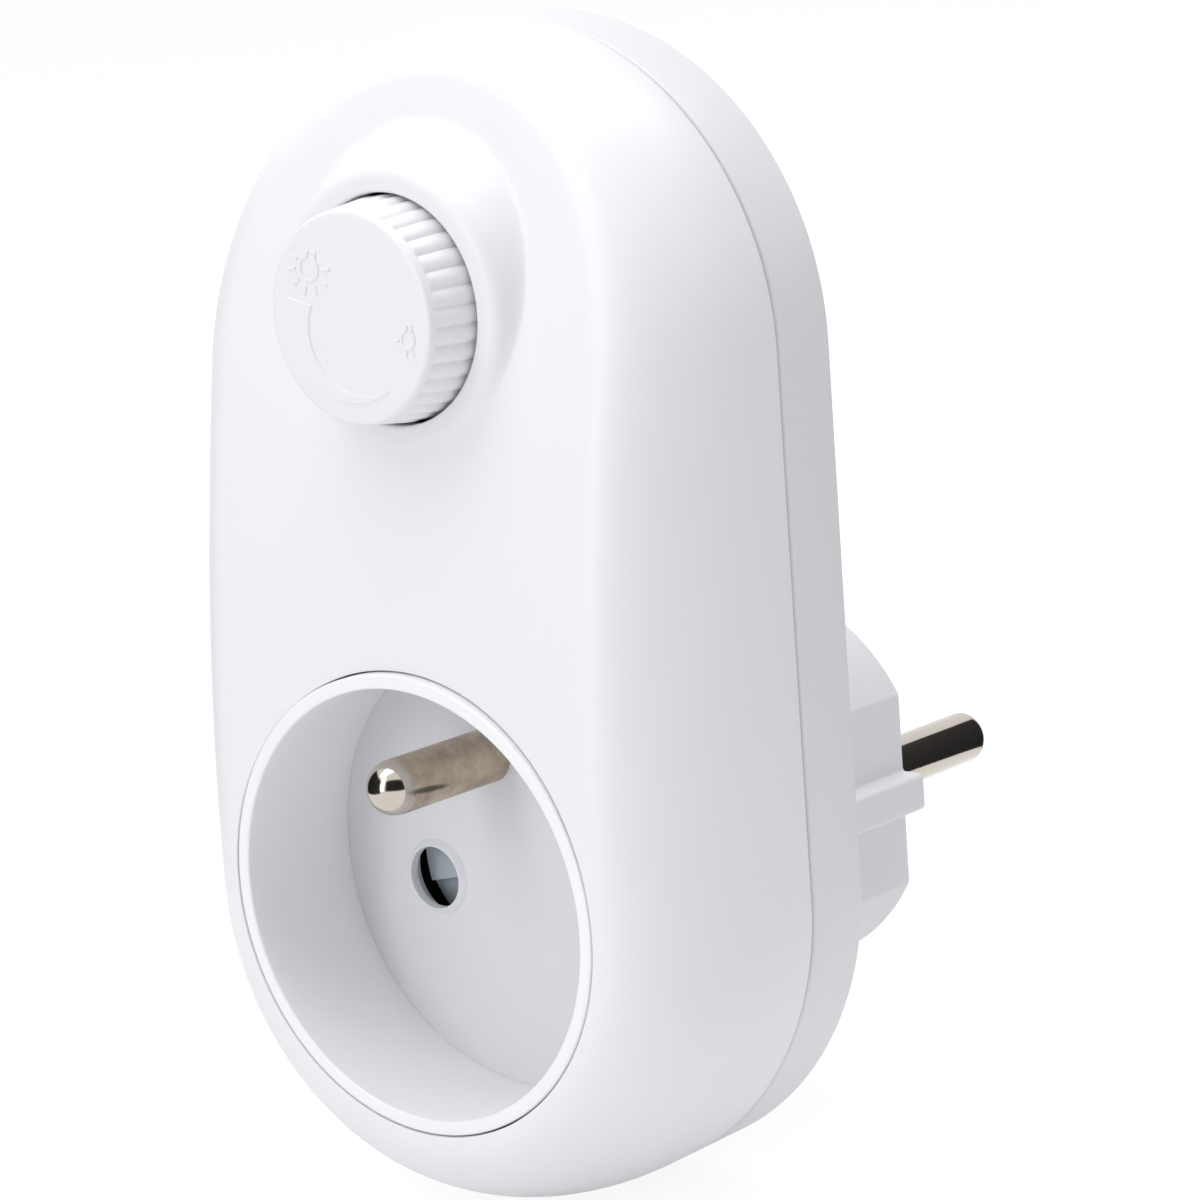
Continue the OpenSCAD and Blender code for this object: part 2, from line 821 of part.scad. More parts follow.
module pot_cover() {
  can_t = 0.6;
  bush_r = 4.6;
  bush_len = 2.6;
  color("#b8bcc0") turned([0, knob_z]) polygon([
    [pot_r, pot_base_y], [pot_r, pot_front_y], [bush_r, pot_front_y], [bush_r, pot_front_y - bush_len],
    [shaft_r + shaft_gap, pot_front_y - bush_len], [shaft_r + shaft_gap, pot_front_y + can_t],
    [pot_r - can_t, pot_front_y + can_t], [pot_r - can_t, pot_base_y]
  ]);
}

module pot_shaft() {
  wiper_r = 6.6;
  tail_r = 1.2;
  tail_y = pot_base_y + 0.6;
  chamfer = 0.4;
  wiper_gap = 1;
  color("#e4e2dc") difference() {
    turned([0, knob_z]) polygon([
      [0, shaft_front_y], [shaft_r - chamfer, shaft_front_y], [shaft_r, shaft_front_y + chamfer],
      [shaft_r, pot_front_y + wiper_gap], [wiper_r, pot_front_y + wiper_gap],
      [wiper_r, pot_base_y - wiper_gap], [tail_r, pot_base_y - wiper_gap], [tail_r, tail_y], [0, tail_y]
    ]);
    block(
      [-shaft_r - past, shaft_front_y - past, knob_z + d_flat],
      [shaft_r + past, flat_end_y, knob_z + shaft_r + past]
    );
  }
}

module pot_terminals() {
  pitch = 3.8;
  half = 0.5;
  t = 0.5;
  color("#c7c9cc") for (x = [-pitch, 0, pitch])
    block([x - half, pot_base_y - t, knob_z - 11], [x + half, pot_base_y, knob_z - 9.2]);
}

module knob() {
  slope = atan((knob_base_r - knob_face_r) / (boss_y - knob_y));
  groove_end = boss_y - knob_y + groove_past;
  inner = knob_face_r - knob_wall;
  color("#f1f1f4") difference() {
    turned([0, knob_z]) polygon(concat(
      [[0, knob_y]],
      arc([knob_face_r - knob_edge, knob_y + knob_edge], knob_edge, -90, 0, 4),
      [[knob_base_r, boss_y], [knob_base_r, knob_skirt_y], [knob_base_r - knob_wall, knob_skirt_y]],
      [[inner, knob_y + knob_wall], [hub_r, knob_y + knob_wall], [hub_r, hub_back_y], [0, hub_back_y]]
    ));
    difference() {
      rod(shaft_r + shaft_gap, shaft_front_y - free_gap, hub_back_y + past, [0, knob_z]);
      block(
        [-shaft_r - past, shaft_front_y - past, knob_z + d_flat + shaft_gap],
        [shaft_r + past, flat_end_y - loose_gap, knob_z + shaft_r + past]
      );
    }
    for (k = [0:knob_grooves - 1])
      translate([0, 0, knob_z]) rotate([0, 360 * k / knob_grooves, 0])
        translate([0, knob_y, knob_face_r + groove_lift]) rotate([slope, 0, 0])
          rod(groove_r, groove_start, groove_end);
  }
}

module triac() {
  half = [5, 4.6];
  body_t = 3.1;
  tab_up = 9.6;
  hole_r = 1.6;
  leg_pitch = 2.54;
  leg_half = 0.4;
  leg_t = 0.5;
  leg_drop = 8;
  tab_y = sink_y - tab_t;
  leg_y = sink_y - 2.4;
  x = triac_at[0];
  z = triac_at[1];
  color("#2b2b2e") {
    block([x - half[0], tab_y - body_t, z - half[1]], [x + half[0], tab_y, z + half[1]]);
    difference() {
      block([x - half[0], tab_y, z - half[1]], [x + half[0], sink_y, z + tab_up]);
      rod(hole_r, tab_y - past, sink_y + past, [x, z + tab_hole_up]);
    }
    for (leg_x = [x - leg_pitch, x, x + leg_pitch]) {
      low = [leg_x - leg_half, leg_y, z - leg_drop];
      block(low, [leg_x + leg_half, leg_y + leg_t, z - half[1] + free_gap]);
      block(low, [leg_x + leg_half, board_front - loose_gap, z - leg_drop + leg_t]);
    }
  }
}

module heat_sink() {
  half = 5.8;
  t = 1.5;
  fin_x = [5.1, 6.3];
  fin_y = board_front - 9;
  rise = [-5, 10.2];
  x = triac_at[0];
  z = triac_at[1];
  color("#c2c5c9") difference() {
    union() {
      block([x - half, sink_y, z + rise[0]], [x + half, sink_y + t, z + rise[1]]);
      block([x + fin_x[0], fin_y, z + rise[0]], [x + fin_x[1], sink_y + t, z + rise[1]]);
    }
    rod(triac_screw_r + shaft_gap, sink_y - past, sink_y + t + past, [x, z + tab_hole_up]);
  }
}

module triac_screw() {
  head_y = sink_y - tab_t - loose_gap;
  head_r = 2;
  head_t = 1.6;
  slot = 0.8;
  slot_depth = 0.6;
  color("#b4b7bb") translate([triac_at[0], 0, triac_at[1] + tab_hole_up]) {
    rod(triac_screw_r, head_y - loose_gap, board_front - screw_gap);
    difference() {
      rod(head_r, head_y - head_t, head_y);
      block(
        [-slot / 2, head_y - head_t - past, -head_r - past],
        [slot / 2, head_y - head_t + slot_depth, head_r + past]
      );
    }
  }
}

module choke_core() {
  color("#3d4a52") translate([choke_at[0], 0, choke_at[1]]) difference() {
    rod(core_r[1], core_y[0], core_y[1]);
    rod(core_r[0], core_y[0] - past, core_y[1] + past);
  }
}

// Turns of enamelled wire, each a closed loop of strip round the core's section
module choke_winding() {
  turns = 18;
  first_turn = 30;
  sweep = 300;
  strip_w = 0.7;
  strip_t = 0.7;
  low = [core_r[0] - loose_gap, core_y[0] - loose_gap];
  high = [core_r[1] + loose_gap, core_y[1] + loose_gap];
  color("#b5622c") translate([choke_at[0], 0, choke_at[1]]) for (k = [0:turns - 1])
    rotate([0, first_turn + sweep * k / turns, 0]) difference() {
      block(
        [low[0] - strip_t - loose_gap, low[1] - strip_t, -strip_w / 2],
        [high[0] + strip_t + loose_gap, high[1] + strip_t, strip_w / 2]
      );
      block([low[0], low[1], -strip_w], [high[0], high[1], strip_w]);
    }
}

module film_capacitor() {
  low = [1, board_front - 11, 24];
  high = [19, board_front - 0.4, 30.5];
  color("#e2c24a") {
    block(low, high);
    rods(film_leads, film_wire_r, high[1] - free_gap, board_back + past);
  }
}

module timing_capacitors() {
  x = [12, 19.5];
  y = [board_front - 8.5, board_front - 0.6];
  half_t = 2;
  color("#a8432f") {
    for (z = timing_z) block([x[0], y[0], z - half_t], [x[1], y[1], z + half_t]);
    rods(timing_leads, wire_r, y[1] - free_gap, board_back + lead_stub);
  }
}

module resistors() {
  axis_y = board_front - 1.7;
  body_r = 1.25;
  body_z = [38.8, 42.8];
  color("#c9b48a") {
    for (x = resistor_x) {
      translate([x, axis_y, body_z[0]]) cylinder(r = body_r, h = body_z[1] - body_z[0]);
      translate([x, axis_y, resistor_z[0]]) cylinder(r = wire_r, h = resistor_z[1] - resistor_z[0]);
    }
    rods(resistor_leads, wire_r, axis_y, board_back + lead_stub);
  }
}

module diac() {
  axis_y = board_front - 1.3;
  body_r = 0.95;
  body_z = [44, 47.6];
  x = diac_leads[0][0];
  low = diac_leads[0][1];
  high = diac_leads[1][1];
  color("#3f6fae") {
    translate([x, axis_y, body_z[0]]) cylinder(r = body_r, h = body_z[1] - body_z[0]);
    translate([x, axis_y, low]) cylinder(r = diac_wire_r, h = high - low);
    rods(diac_leads, diac_wire_r, axis_y, board_back + lead_stub);
  }
}

// A round bar along X on the fuse's axis
module fuse_rod(r, from, to) {
  translate([from, fuse_at[0], fuse_at[1]]) rotate([0, 90, 0]) cylinder(r = r, h = to - from);
}

module fuse_tube() {
  glass_t = 0.6;
  end_gap = 1.05;
  color("#cfe3ea") difference() {
    fuse_rod(fuse_r, end_gap, fuse_len - end_gap);
    fuse_rod(fuse_r - glass_t, 0, fuse_len);
  }
}

module fuse_caps() {
  cap_len = 4.1;
  end_t = 1;
  color("#c7c9cc") difference() {
    union() {
      fuse_rod(cap_r, 0, cap_len);
      fuse_rod(cap_r, fuse_len - cap_len, fuse_len);
    }
    fuse_rod(fuse_r + press_gap, end_t, fuse_len - end_t);
  }
}

module fuse_clips() {
  clip_w = 2.4;
  half = 3.2;
  mouth = 1.7;
  front = board_front - 5.4;
  back = board_front - loose_gap;
  z = fuse_at[1];
  color("#b9bcc0") for (x = [1, fuse_len - clip_w - 1]) difference() {
    block([x, front, z - half], [x + clip_w, back, z + half]);
    fuse_rod(cap_r + press_gap, x - past, x + clip_w + past);
    block([x - past, front - past, z - mouth], [x + clip_w + past, fuse_at[0], z + mouth]);
  }
}

// Smooth route through hand-placed points: each corner is cut to an even curve
function eased(p, n = 5) = [
  p[0],
  for (i = [1:len(p) - 2])
    let (a = (p[i - 1] + p[i]) / 2, c = (p[i] + p[i + 1]) / 2)
    for (k = [0:n]) let (t = k / n) a * (1 - t) * (1 - t) + p[i] * 2 * t * (1 - t) + c * t * t,
  p[len(p) - 1]
];

// From the line pin's shank round the contact pocket and up to the board
module line_lead() {
  route = [
    [-9.5, -9.2, 0], [-9.7, -9.8, 4.4], [-10.5, -13, 7], [-10.5, -20, 8], [-10.2, -26.6, 8.2],
    [-9.6, -27.3, 13], [-9, -27.3, 20], [-8, -27.5, 24], [-8, -27.5, 28]
  ];
  color("#7a4a2a") wire(eased(route), lead_r, [1, 0.2, 0.1]);
}

// From the line contact's tail up to the board
module load_lead() {
  route = [
    [-7.6, -12.6, -1.6], [-6.6, -13.6, 1.5], [-6.5, -17, 5], [-6.6, -24, 6.5], [-6.8, -27.2, 8],
    [-7, -27.3, 13], [-6.6, -27.3, 19], [-4, -27.3, 22], [-3, -27.5, 24.5], [-3, -27.5, 28]
  ];
  color("#3a3f46") wire(eased(route), lead_r, [1, 0.2, 0.1]);
}

// Pan-head screw whose head faces +Y, with a cross slot
module pan_screw(r, shank_len, head_r, head_t, head_y) {
  slot_w = 0.7;
  slot_len = head_r * 1.3;
  middle = head_y + head_t / 2;
  top = head_y + head_t;
  rod(r, head_y - shank_len, head_y);
  difference() {
    turned() polygon(concat(
      [[0, head_y - loose_gap], [head_r, head_y - loose_gap], [head_r, middle]],
      arc([head_r - head_t / 2, middle], head_t / 2, 0, 90, 4), [[0, top]]
    ));
    for (turn = [0, 90]) rotate([0, turn, 0])
      block([-slot_w / 2, middle, -slot_len / 2], [slot_w / 2, top + past, slot_len / 2]);
  }
}

module housing_screws() {
  color("#9b9ea3") at_posts()
    pan_screw(screw_r, screw_len, screw_head_r, screw_head_t, back_y - screw_head_t - loose_gap);
}

module board_screws() {
  color("#9b9ea3") at_board_posts() pan_screw(small_screw_r, 7.5, 1.9, 1.2, board_back + loose_gap);
}

module carrier_screws() {
  color("#9b9ea3") at_carrier_bosses() pan_screw(0.78, 6, 1.6, 1, carrier_back + loose_gap);
}

front_housing();
rear_cover();
socket_insert();
socket_earth_pin();
shutter();
shutter_spring();
contact_carrier();
contact_line();
contact_neutral();
plug_pin_line();
plug_pin_neutral();
earth_strap();
earth_receptacle();
neutral_bar();
circuit_board();
pot_body();
pot_cover();
pot_shaft();
pot_terminals();
knob();
triac();
heat_sink();
triac_screw();
choke_core();
choke_winding();
film_capacitor();
timing_capacitors();
resistors();
diac();
fuse_tube();
fuse_caps();
fuse_clips();
line_lead();
load_lead();
housing_screws();
board_screws();
carrier_screws();
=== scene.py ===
import math

import bmesh
import bpy
from bpy.props import FloatProperty, FloatVectorProperty, IntProperty, PointerProperty
from bpy.types import Operator, Panel, PropertyGroup
from mathutils import Matrix, Vector
from mathutils.geometry import delaunay_2d_cdt


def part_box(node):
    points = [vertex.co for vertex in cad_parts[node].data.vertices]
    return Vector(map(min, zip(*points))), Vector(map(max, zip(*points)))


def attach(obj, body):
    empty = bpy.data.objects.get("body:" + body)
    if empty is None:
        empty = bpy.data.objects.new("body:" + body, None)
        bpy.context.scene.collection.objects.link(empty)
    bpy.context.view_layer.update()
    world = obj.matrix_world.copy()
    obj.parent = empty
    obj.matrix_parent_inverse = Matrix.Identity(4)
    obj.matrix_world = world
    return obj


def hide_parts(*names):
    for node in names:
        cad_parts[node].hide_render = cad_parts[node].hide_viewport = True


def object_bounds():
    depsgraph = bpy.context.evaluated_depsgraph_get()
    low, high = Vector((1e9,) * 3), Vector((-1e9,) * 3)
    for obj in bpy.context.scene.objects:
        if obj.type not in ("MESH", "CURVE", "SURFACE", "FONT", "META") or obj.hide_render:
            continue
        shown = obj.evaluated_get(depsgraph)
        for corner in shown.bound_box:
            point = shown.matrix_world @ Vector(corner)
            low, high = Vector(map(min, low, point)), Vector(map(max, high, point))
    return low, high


bl_info = {
    "name": "Plug-in dimmer",
    "version": (1, 0, 0),
    "blender": (4, 5, 0),
    "location": "View3D > Sidebar > Dimmer",
    "description": "Builds the visible pieces, finishes and stage of a plug-in dimmer round its solids",
    "category": "Object",
}

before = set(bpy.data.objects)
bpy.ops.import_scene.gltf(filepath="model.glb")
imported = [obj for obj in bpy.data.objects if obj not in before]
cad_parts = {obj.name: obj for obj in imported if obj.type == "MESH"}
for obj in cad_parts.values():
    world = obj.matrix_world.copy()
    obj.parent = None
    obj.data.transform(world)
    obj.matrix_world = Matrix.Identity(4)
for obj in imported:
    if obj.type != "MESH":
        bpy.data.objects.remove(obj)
SOLIDS_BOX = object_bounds()
MM = 0.001

HOUSING_LOW, HOUSING_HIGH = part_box("front_housing")
INSERT_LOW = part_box("socket_insert")[0]
KNOB_LOW, KNOB_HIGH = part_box("knob")
EARTH_LOW, EARTH_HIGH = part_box("socket_earth_pin")
PIN_LOW, PIN_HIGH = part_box("plug_pin_neutral")


def linear(hex_colour):
    """Linear RGBA of an sRGB hex colour."""
    parts = [int(hex_colour[i:i + 2], 16) / 255 for i in (1, 3, 5)]
    return tuple(c / 12.92 if c <= 0.04045 else ((c + 0.055) / 1.055) ** 2.4 for c in parts) + (1.0,)


def length(name, description, default):
    """A length property in metres."""
    return FloatProperty(name=name, description=description, default=default, unit="LENGTH",
                         subtype="DISTANCE", precision=5)


def colour(name, description, hex_colour):
    """A colour property from an sRGB hex value."""
    return FloatVectorProperty(name=name, description=description, default=linear(hex_colour), size=4,
                               min=0, max=1, subtype="COLOR")


class HousingSizes(PropertyGroup):
    end_radius: length("End radius", "Radius of the body's two round ends", HOUSING_HIGH.x)
    low: length("Lower centre", "Height of the centre of the lower round end",
                HOUSING_LOW.z + HOUSING_HIGH.x)
    top: length("Upper centre", "Height of the centre of the upper round end",
                HOUSING_HIGH.z - HOUSING_HIGH.x)
    rim: length("Rim plane", "Place of the socket rim along the depth", INSERT_LOW.y)
    parting: length("Parting line", "Place of the line between the mouldings along the depth", -30.8 * MM)
    seam: length("Seam", "Gap between the two mouldings", 0.25 * MM)
    wall: length("Wall", "Wall of the two mouldings", 2.2 * MM)
    edge_width: length("Edge width", "Width of the rounded front edge", 8 * MM)
    edge_depth: length("Edge depth", "Depth of the rounded front edge", 16 * MM)
    edge_loss: length("Edge loss", "How much narrower the rounded edge is at the very top", 3.5 * MM)
    lean_radius: length("Lean radius", "Radius of the slow curve that leans the face back", 225 * MM)
    boss: length("Boss crest", "How far the crest of the knob boss lies behind the rim plane", 3.5 * MM)
    fillet: length("Boss fillet", "Reach of the soft foot where the knob boss meets the face", 0.7 * MM)


class SocketSizes(PropertyGroup):
    recess: length("Recess radius", "Radius of the recess at its mouth", 18.75 * MM)
    outside: length("Rim radius", "Radius of the insert's rim", 20 * MM)
    gap: length("Gap", "Gap between the insert's rim and the housing", 0.15 * MM)
    seat: length("Seat", "How far the insert's seat lies behind the rim plane", 3.6 * MM)
    floor: length("Floor", "Place of the recess floor along the depth", -36.3 * MM)
    floor_thickness: length("Floor thickness", "Thickness of the recess floor", 2 * MM)
    floor_radius: length("Floor radius", "Radius of the recess at its floor", 20 * MM)
    joint: length("Floor joint", "Width of the fine line where the recess wall meets its floor", 0.05 * MM)
    collar: length("Collar", "Height of the low collar round each contact hole", 0.55 * MM)
    contact_hole: length("Contact hole", "Radius of each contact hole", 2.8 * MM)
    turn: FloatProperty(name="Turn", description="Turn of the insert in the housing",
                        default=math.radians(12.3), subtype="ANGLE")


class KnobSizes(PropertyGroup):
    height: length("Axis height", "Height of the knob's axis", (KNOB_LOW.z + KNOB_HIGH.z) / 2)
    face: length("Face plane", "Place of the knob's face along the depth", KNOB_LOW.y)
    face_radius: length("Face radius", "Radius of the knob at its face", 8.85 * MM)
    base_radius: length("Base radius", "Radius of the knob where it enters the housing", KNOB_HIGH.x)
    hole: length("Hole radius", "Radius of the hole round the knob", 9.7 * MM)
    ribs: IntProperty(name="Ribs", description="Number of grip ribs round the knob", default=36, min=12)
    rib_depth: length("Rib depth", "Depth of the grooves between the ribs", 0.27 * MM)
    mark_height: length("Mark height", "How far the marks stand up from the knob's face", 0.14 * MM)


class PlugSizes(PropertyGroup):
    back: length("Cover back", "Place of the rear cover's back along the depth", -23.7 * MM)
    radius: length("Radius", "Radius of the plug body", 18.1 * MM)
    flat: length("Flat", "Distance of the side flats from the middle", 15.8 * MM)
    rib_width: length("Guide rib", "Width of the guide rib on each flat", 3.4 * MM)
    pin: length("Pin radius", "Radius of the pins", 2.4 * MM)
    pitch: length("Pin pitch", "Distance between the pins", 19 * MM)
    earth: length("Earth pitch", "Distance of the earth pin from the line of the contacts", 10 * MM)


class Finishes(PropertyGroup):
    housing: colour("Housing", "Colour of the front moulding", "#EEEFF2")
    cover: colour("Cover", "Colour of the rear moulding", "#E6E7EB")
    insert: colour("Insert", "Colour of the socket insert", "#F5F6F8")
    # The recess floor and the collars are darker tints of the same white as the insert: painted shade of
    # the deep recess
    floor: colour("Recess floor", "Colour of the recess floor", "#E3E3E8")
    collar: colour("Collars", "Colour of the low collars round the contact holes", "#E6E8EC")
    knob: colour("Knob", "Colour of the knob", "#EFEFF3")
    shutter: colour("Shutter", "Colour of the shutter", "#B9C4CB")
    nickel: colour("Nickel", "Colour of the plated pins", "#C9C1B7")
    tarnish: colour("Tarnish", "Colour of the handled shank of the earth pin", "#CFBEA9")


class StageSizes(PropertyGroup):
    lens: FloatProperty(name="Lens", description="Focal length on a 36 mm sensor", default=115.95,
                        unit="CAMERA", min=10)
    key: FloatProperty(name="Key light", description="Power of the long panel overhead",
                       default=9.6, unit="POWER", min=0)
    front: FloatProperty(name="Front light", description="Power of the narrow lamp in front",
                         default=2.4, unit="POWER", min=0)
    fill: FloatProperty(name="Surround", description="Strength of the even light from all round",
                        default=0.495, min=0)


class DimmerSettings(PropertyGroup):
    housing: PointerProperty(type=HousingSizes, name="Housing", description="Sizes of the housing")
    socket: PointerProperty(type=SocketSizes, name="Socket", description="Sizes of the socket")
    knob: PointerProperty(type=KnobSizes, name="Knob", description="Sizes of the knob")
    plug: PointerProperty(type=PlugSizes, name="Plug", description="Sizes of the plug")
    finish: PointerProperty(type=Finishes, name="Finishes", description="Colours of the pieces")
    stage: PointerProperty(type=StageSizes, name="Stage", description="Camera and light")


def cleaned(mesh, merge):
    """Merges the doubles of a closed mesh, drops its empty faces and turns the rest outwards."""
    work = bmesh.new()
    work.from_mesh(mesh)
    bmesh.ops.remove_doubles(work, verts=work.verts, dist=merge)
    bmesh.ops.dissolve_degenerate(work, edges=work.edges, dist=0.001 * MM)
    bmesh.ops.recalc_face_normals(work, faces=work.faces)
    work.to_mesh(mesh)
    work.free()


class Shell:
    """Points and faces of a piece while it is put together."""

    def __init__(self):
        self.points = []
        self.faces = []

    def loop(self, points):
        """Adds a closed row of points and gives their numbers."""
        start = len(self.points)
        self.points.extend(Vector(p) for p in points)
        return list(range(start, len(self.points)))

    def bridge(self, a, b):
        """Joins two closed rows of as many points with four-sided faces."""
        n = len(a)
        self.faces.extend((a[i], a[(i + 1) % n], b[(i + 1) % n], b[i]) for i in range(n))

    def skin(self, rows):
        """Joins each closed row to the next."""
        for a, b in zip(rows, rows[1:]):
            self.bridge(a, b)

    def turned(self, profile, x, z, count):
        """Adds joined rows round an axis along Y, through [radius, y] points, and gives them."""
        rows = [self.loop(circle(x, y, z, r, count)) for r, y in profile]
        self.skin(rows)
        return rows

    def fan(self, row, tip):
        """Closes a row of points onto one point."""
        self.points.append(Vector(tip))
        last = len(self.points) - 1
        self.faces.extend((row[i], row[(i + 1) % len(row)], last) for i in range(len(row)))

    def fill(self, rows):
        """Fills the flat region between an outer row and the rows of the holes in it."""
        self.faces.extend(region([(self.points[i].x, self.points[i].z) for row in rows for i in row],
                                 rows, [i for row in rows for i in row]))

    def mesh(self, name, sharp=35):
        """The closed mesh, with its faces turned outwards and its sharp edges marked."""
        mesh = bpy.data.meshes.new(name)
        mesh.from_pydata(self.points, [], self.faces)
        cleaned(mesh, 0.002 * MM)
        mesh.shade_smooth()
        mesh.set_sharp_from_angle(angle=math.radians(sharp))
        return mesh


def region(flat, rows, numbers):
    """Triangles between the rows of a flat region, as point numbers; loose points lie inside it."""
    order = {number: k for k, number in enumerate(numbers)}
    edges = [(order[row[i]], order[row[(i + 1) % len(row)]]) for row in rows for i in range(len(row))]
    _, _, found, origin, _, _ = delaunay_2d_cdt([Vector(p) for p in flat], edges, [], 0, 1e-9)
    back = [group[0] if group else None for group in origin]
    on_row = {order[i] for row in rows for i in row}
    rings = [[flat[order[i]] for i in row] for row in rows]

    def inside(x, z):
        odd = False
        for ring in rings:
            for (ax, az), (bx, bz) in zip(ring, ring[1:] + ring[:1]):
                if (az > z) != (bz > z) and x < ax + (z - az) * (bx - ax) / (bz - az):
                    odd = not odd
        return odd

    faces = []
    for face in found:
        corners = [back[i] for i in face]
        if None in corners:
            raise RuntimeError("rows of a flat region cross each other")
        if all(c in on_row for c in corners):
            x = sum(flat[c][0] for c in corners) / 3
            z = sum(flat[c][1] for c in corners) / 3
            if not inside(x, z):
                continue
        faces.append(tuple(numbers[c] for c in corners))
    return faces


def circle(x, y, z, r, count):
    """A row of points round an axis along Y."""
    turns = [2 * math.pi * i / count for i in range(count)]
    return [(x + r * math.cos(a), y, z + r * math.sin(a)) for a in turns]


def quarter(count):
    """Sine and one minus cosine of even steps through a right angle."""
    steps = [math.pi / 2 * i / count for i in range(count + 1)]
    return [(math.sin(a), 1 - math.cos(a)) for a in steps]


def lathe(profile, x, z, count):
    """A closed solid of revolution about an axis along Y, from [radius, y] points."""
    shell = Shell()
    rows = shell.turned(profile, x, z, count)
    shell.bridge(rows[-1], rows[0])
    return shell


def place(mesh, name, body, finish, replaced=()):
    """Puts a mesh in the scene as a piece that rides on a body and stands for solids."""
    piece = bpy.data.objects.new(name, mesh)
    bpy.context.scene.collection.objects.link(piece)
    if finish is not None:
        mesh.materials.clear()
        mesh.materials.append(finish)
    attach(piece, body)
    if replaced:
        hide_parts(*replaced)
    return piece


def add(tree, kind, inputs=None, **settings):
    """Adds a node with its settings, and sets its inputs or links them to a socket or a node's result."""
    node = tree.nodes.new(kind)
    for key, value in settings.items():
        setattr(node, key, value)
    for key, value in (inputs or {}).items():
        if isinstance(value, bpy.types.Node):
            value = next(socket for socket in value.outputs if socket.enabled)
        if isinstance(value, bpy.types.NodeSocket):
            tree.links.new(value, node.inputs[key])
        else:
            node.inputs[key].default_value = value
    return node


def new_finish(name):
    """An empty material, its tree and the piece's own coordinates."""
    finish = bpy.data.materials.new(name)
    finish.use_nodes = True
    tree = finish.node_tree
    tree.nodes.clear()
    return finish, tree, add(tree, "ShaderNodeTexCoord").outputs["Object"]


def surface(tree, inputs):
    """Ends a material with a shader that takes these inputs."""
    shader = add(tree, "ShaderNodeBsdfPrincipled", inputs)
    add(tree, "ShaderNodeOutputMaterial", {"Surface": shader})


def dimmed(base, share):
    """A colour with its light cut to a share."""
    return [c * share for c in base[:3]] + [1.0]


def moulded_plastic(name, base, rough=0.42):
    """Injection-moulded ABS from a fine spark-eroded tool: an even colour with a faint cloud of flow,
    a soft sheen that varies a little, and a grit of about 0.1 mm, drawn coarser so that it shows."""
    finish, tree, where = new_finish(name)
    cloud, grit = 14 * MM, 0.35 * MM
    flow = add(tree, "ShaderNodeTexNoise", {"Vector": where, "Scale": 1 / cloud, "Detail": 3.0})
    tone = add(tree, "ShaderNodeMix", {0: flow, 6: base, 7: dimmed(base, 0.965)}, data_type="RGBA")
    sheen = add(tree, "ShaderNodeMapRange", {"Value": flow, "From Min": 0.3, "From Max": 0.7,
                                             "To Min": rough - 0.04, "To Max": rough + 0.05})
    fine = add(tree, "ShaderNodeTexNoise", {"Vector": where, "Scale": 1 / grit, "Detail": 2.0})
    relief = add(tree, "ShaderNodeBump", {"Height": fine, "Strength": 0.05, "Distance": 0.05 * MM})
    surface(tree, {"Base Color": tone, "Roughness": sheen, "Normal": relief, "IOR": 1.53})
    return finish


def plated_pin(name, base, tarnish, rubbed_from, rubbed_to, dull=0.38, bright=0.13, smear=None):
    """Nickel plate on drawn brass: warm grey metal, dulled and clouded by handling along the shank, with
    faint draw lines, made coarse enough to show, and rubbed bright at the end that plugs slide over."""
    finish, tree, where = new_finish(name)
    cloud, draw_line = 2.2 * MM, 0.28 * MM
    axes = add(tree, "ShaderNodeSeparateXYZ", {"Vector": where})
    worn = add(tree, "ShaderNodeMapRange", {"Value": axes.outputs["Y"], "From Min": rubbed_from,
                                            "From Max": rubbed_to}, interpolation_type="SMOOTHSTEP")
    clouds = add(tree, "ShaderNodeTexNoise", {"Vector": where, "Scale": 1 / cloud, "Detail": 6.0,
                                              "Roughness": 0.62})
    stain = add(tree, "ShaderNodeMapRange", {"Value": clouds, "From Min": 0.36, "From Max": 0.66})
    shank = add(tree, "ShaderNodeMix", {0: stain, 6: dimmed(tarnish, 0.68), 7: tarnish}, data_type="RGBA")
    tint = add(tree, "ShaderNodeMix", {0: worn, 6: shank, 7: base}, data_type="RGBA")
    if smear:
        middle, slant, reach = smear
        oval = add(tree, "ShaderNodeMapping", {"Vector": where, "Location": middle, "Scale": reach,
                                               "Rotation": (slant, 0.0, 0.0)}, vector_type="TEXTURE")
        fade = add(tree, "ShaderNodeTexGradient", {"Vector": oval}, gradient_type="SPHERICAL")
        mark = add(tree, "ShaderNodeMapRange", {"Value": fade.outputs["Fac"], "From Max": 0.5,
                                                "To Max": 0.75})
        tint = add(tree, "ShaderNodeMix", {0: mark, 6: tint, 7: linear("#3A3630")}, data_type="RGBA")
    spread = add(tree, "ShaderNodeMapRange", {"Value": clouds, "From Min": 0.3, "From Max": 0.7,
                                              "To Min": dull + 0.1, "To Max": dull - 0.06})
    gloss = add(tree, "ShaderNodeMapRange", {"Value": worn, "To Min": spread, "To Max": bright})
    along = add(tree, "ShaderNodeMapping", {"Vector": where, "Scale": (1.0, 0.06, 1.0)})
    lines = add(tree, "ShaderNodeTexNoise", {"Vector": along, "Scale": 1 / draw_line, "Detail": 3.0})
    relief = add(tree, "ShaderNodeBump", {"Height": lines, "Strength": 0.12, "Distance": 0.03 * MM})
    surface(tree, {"Base Color": tint, "Metallic": 1.0, "Roughness": gloss, "Normal": relief})
    return finish


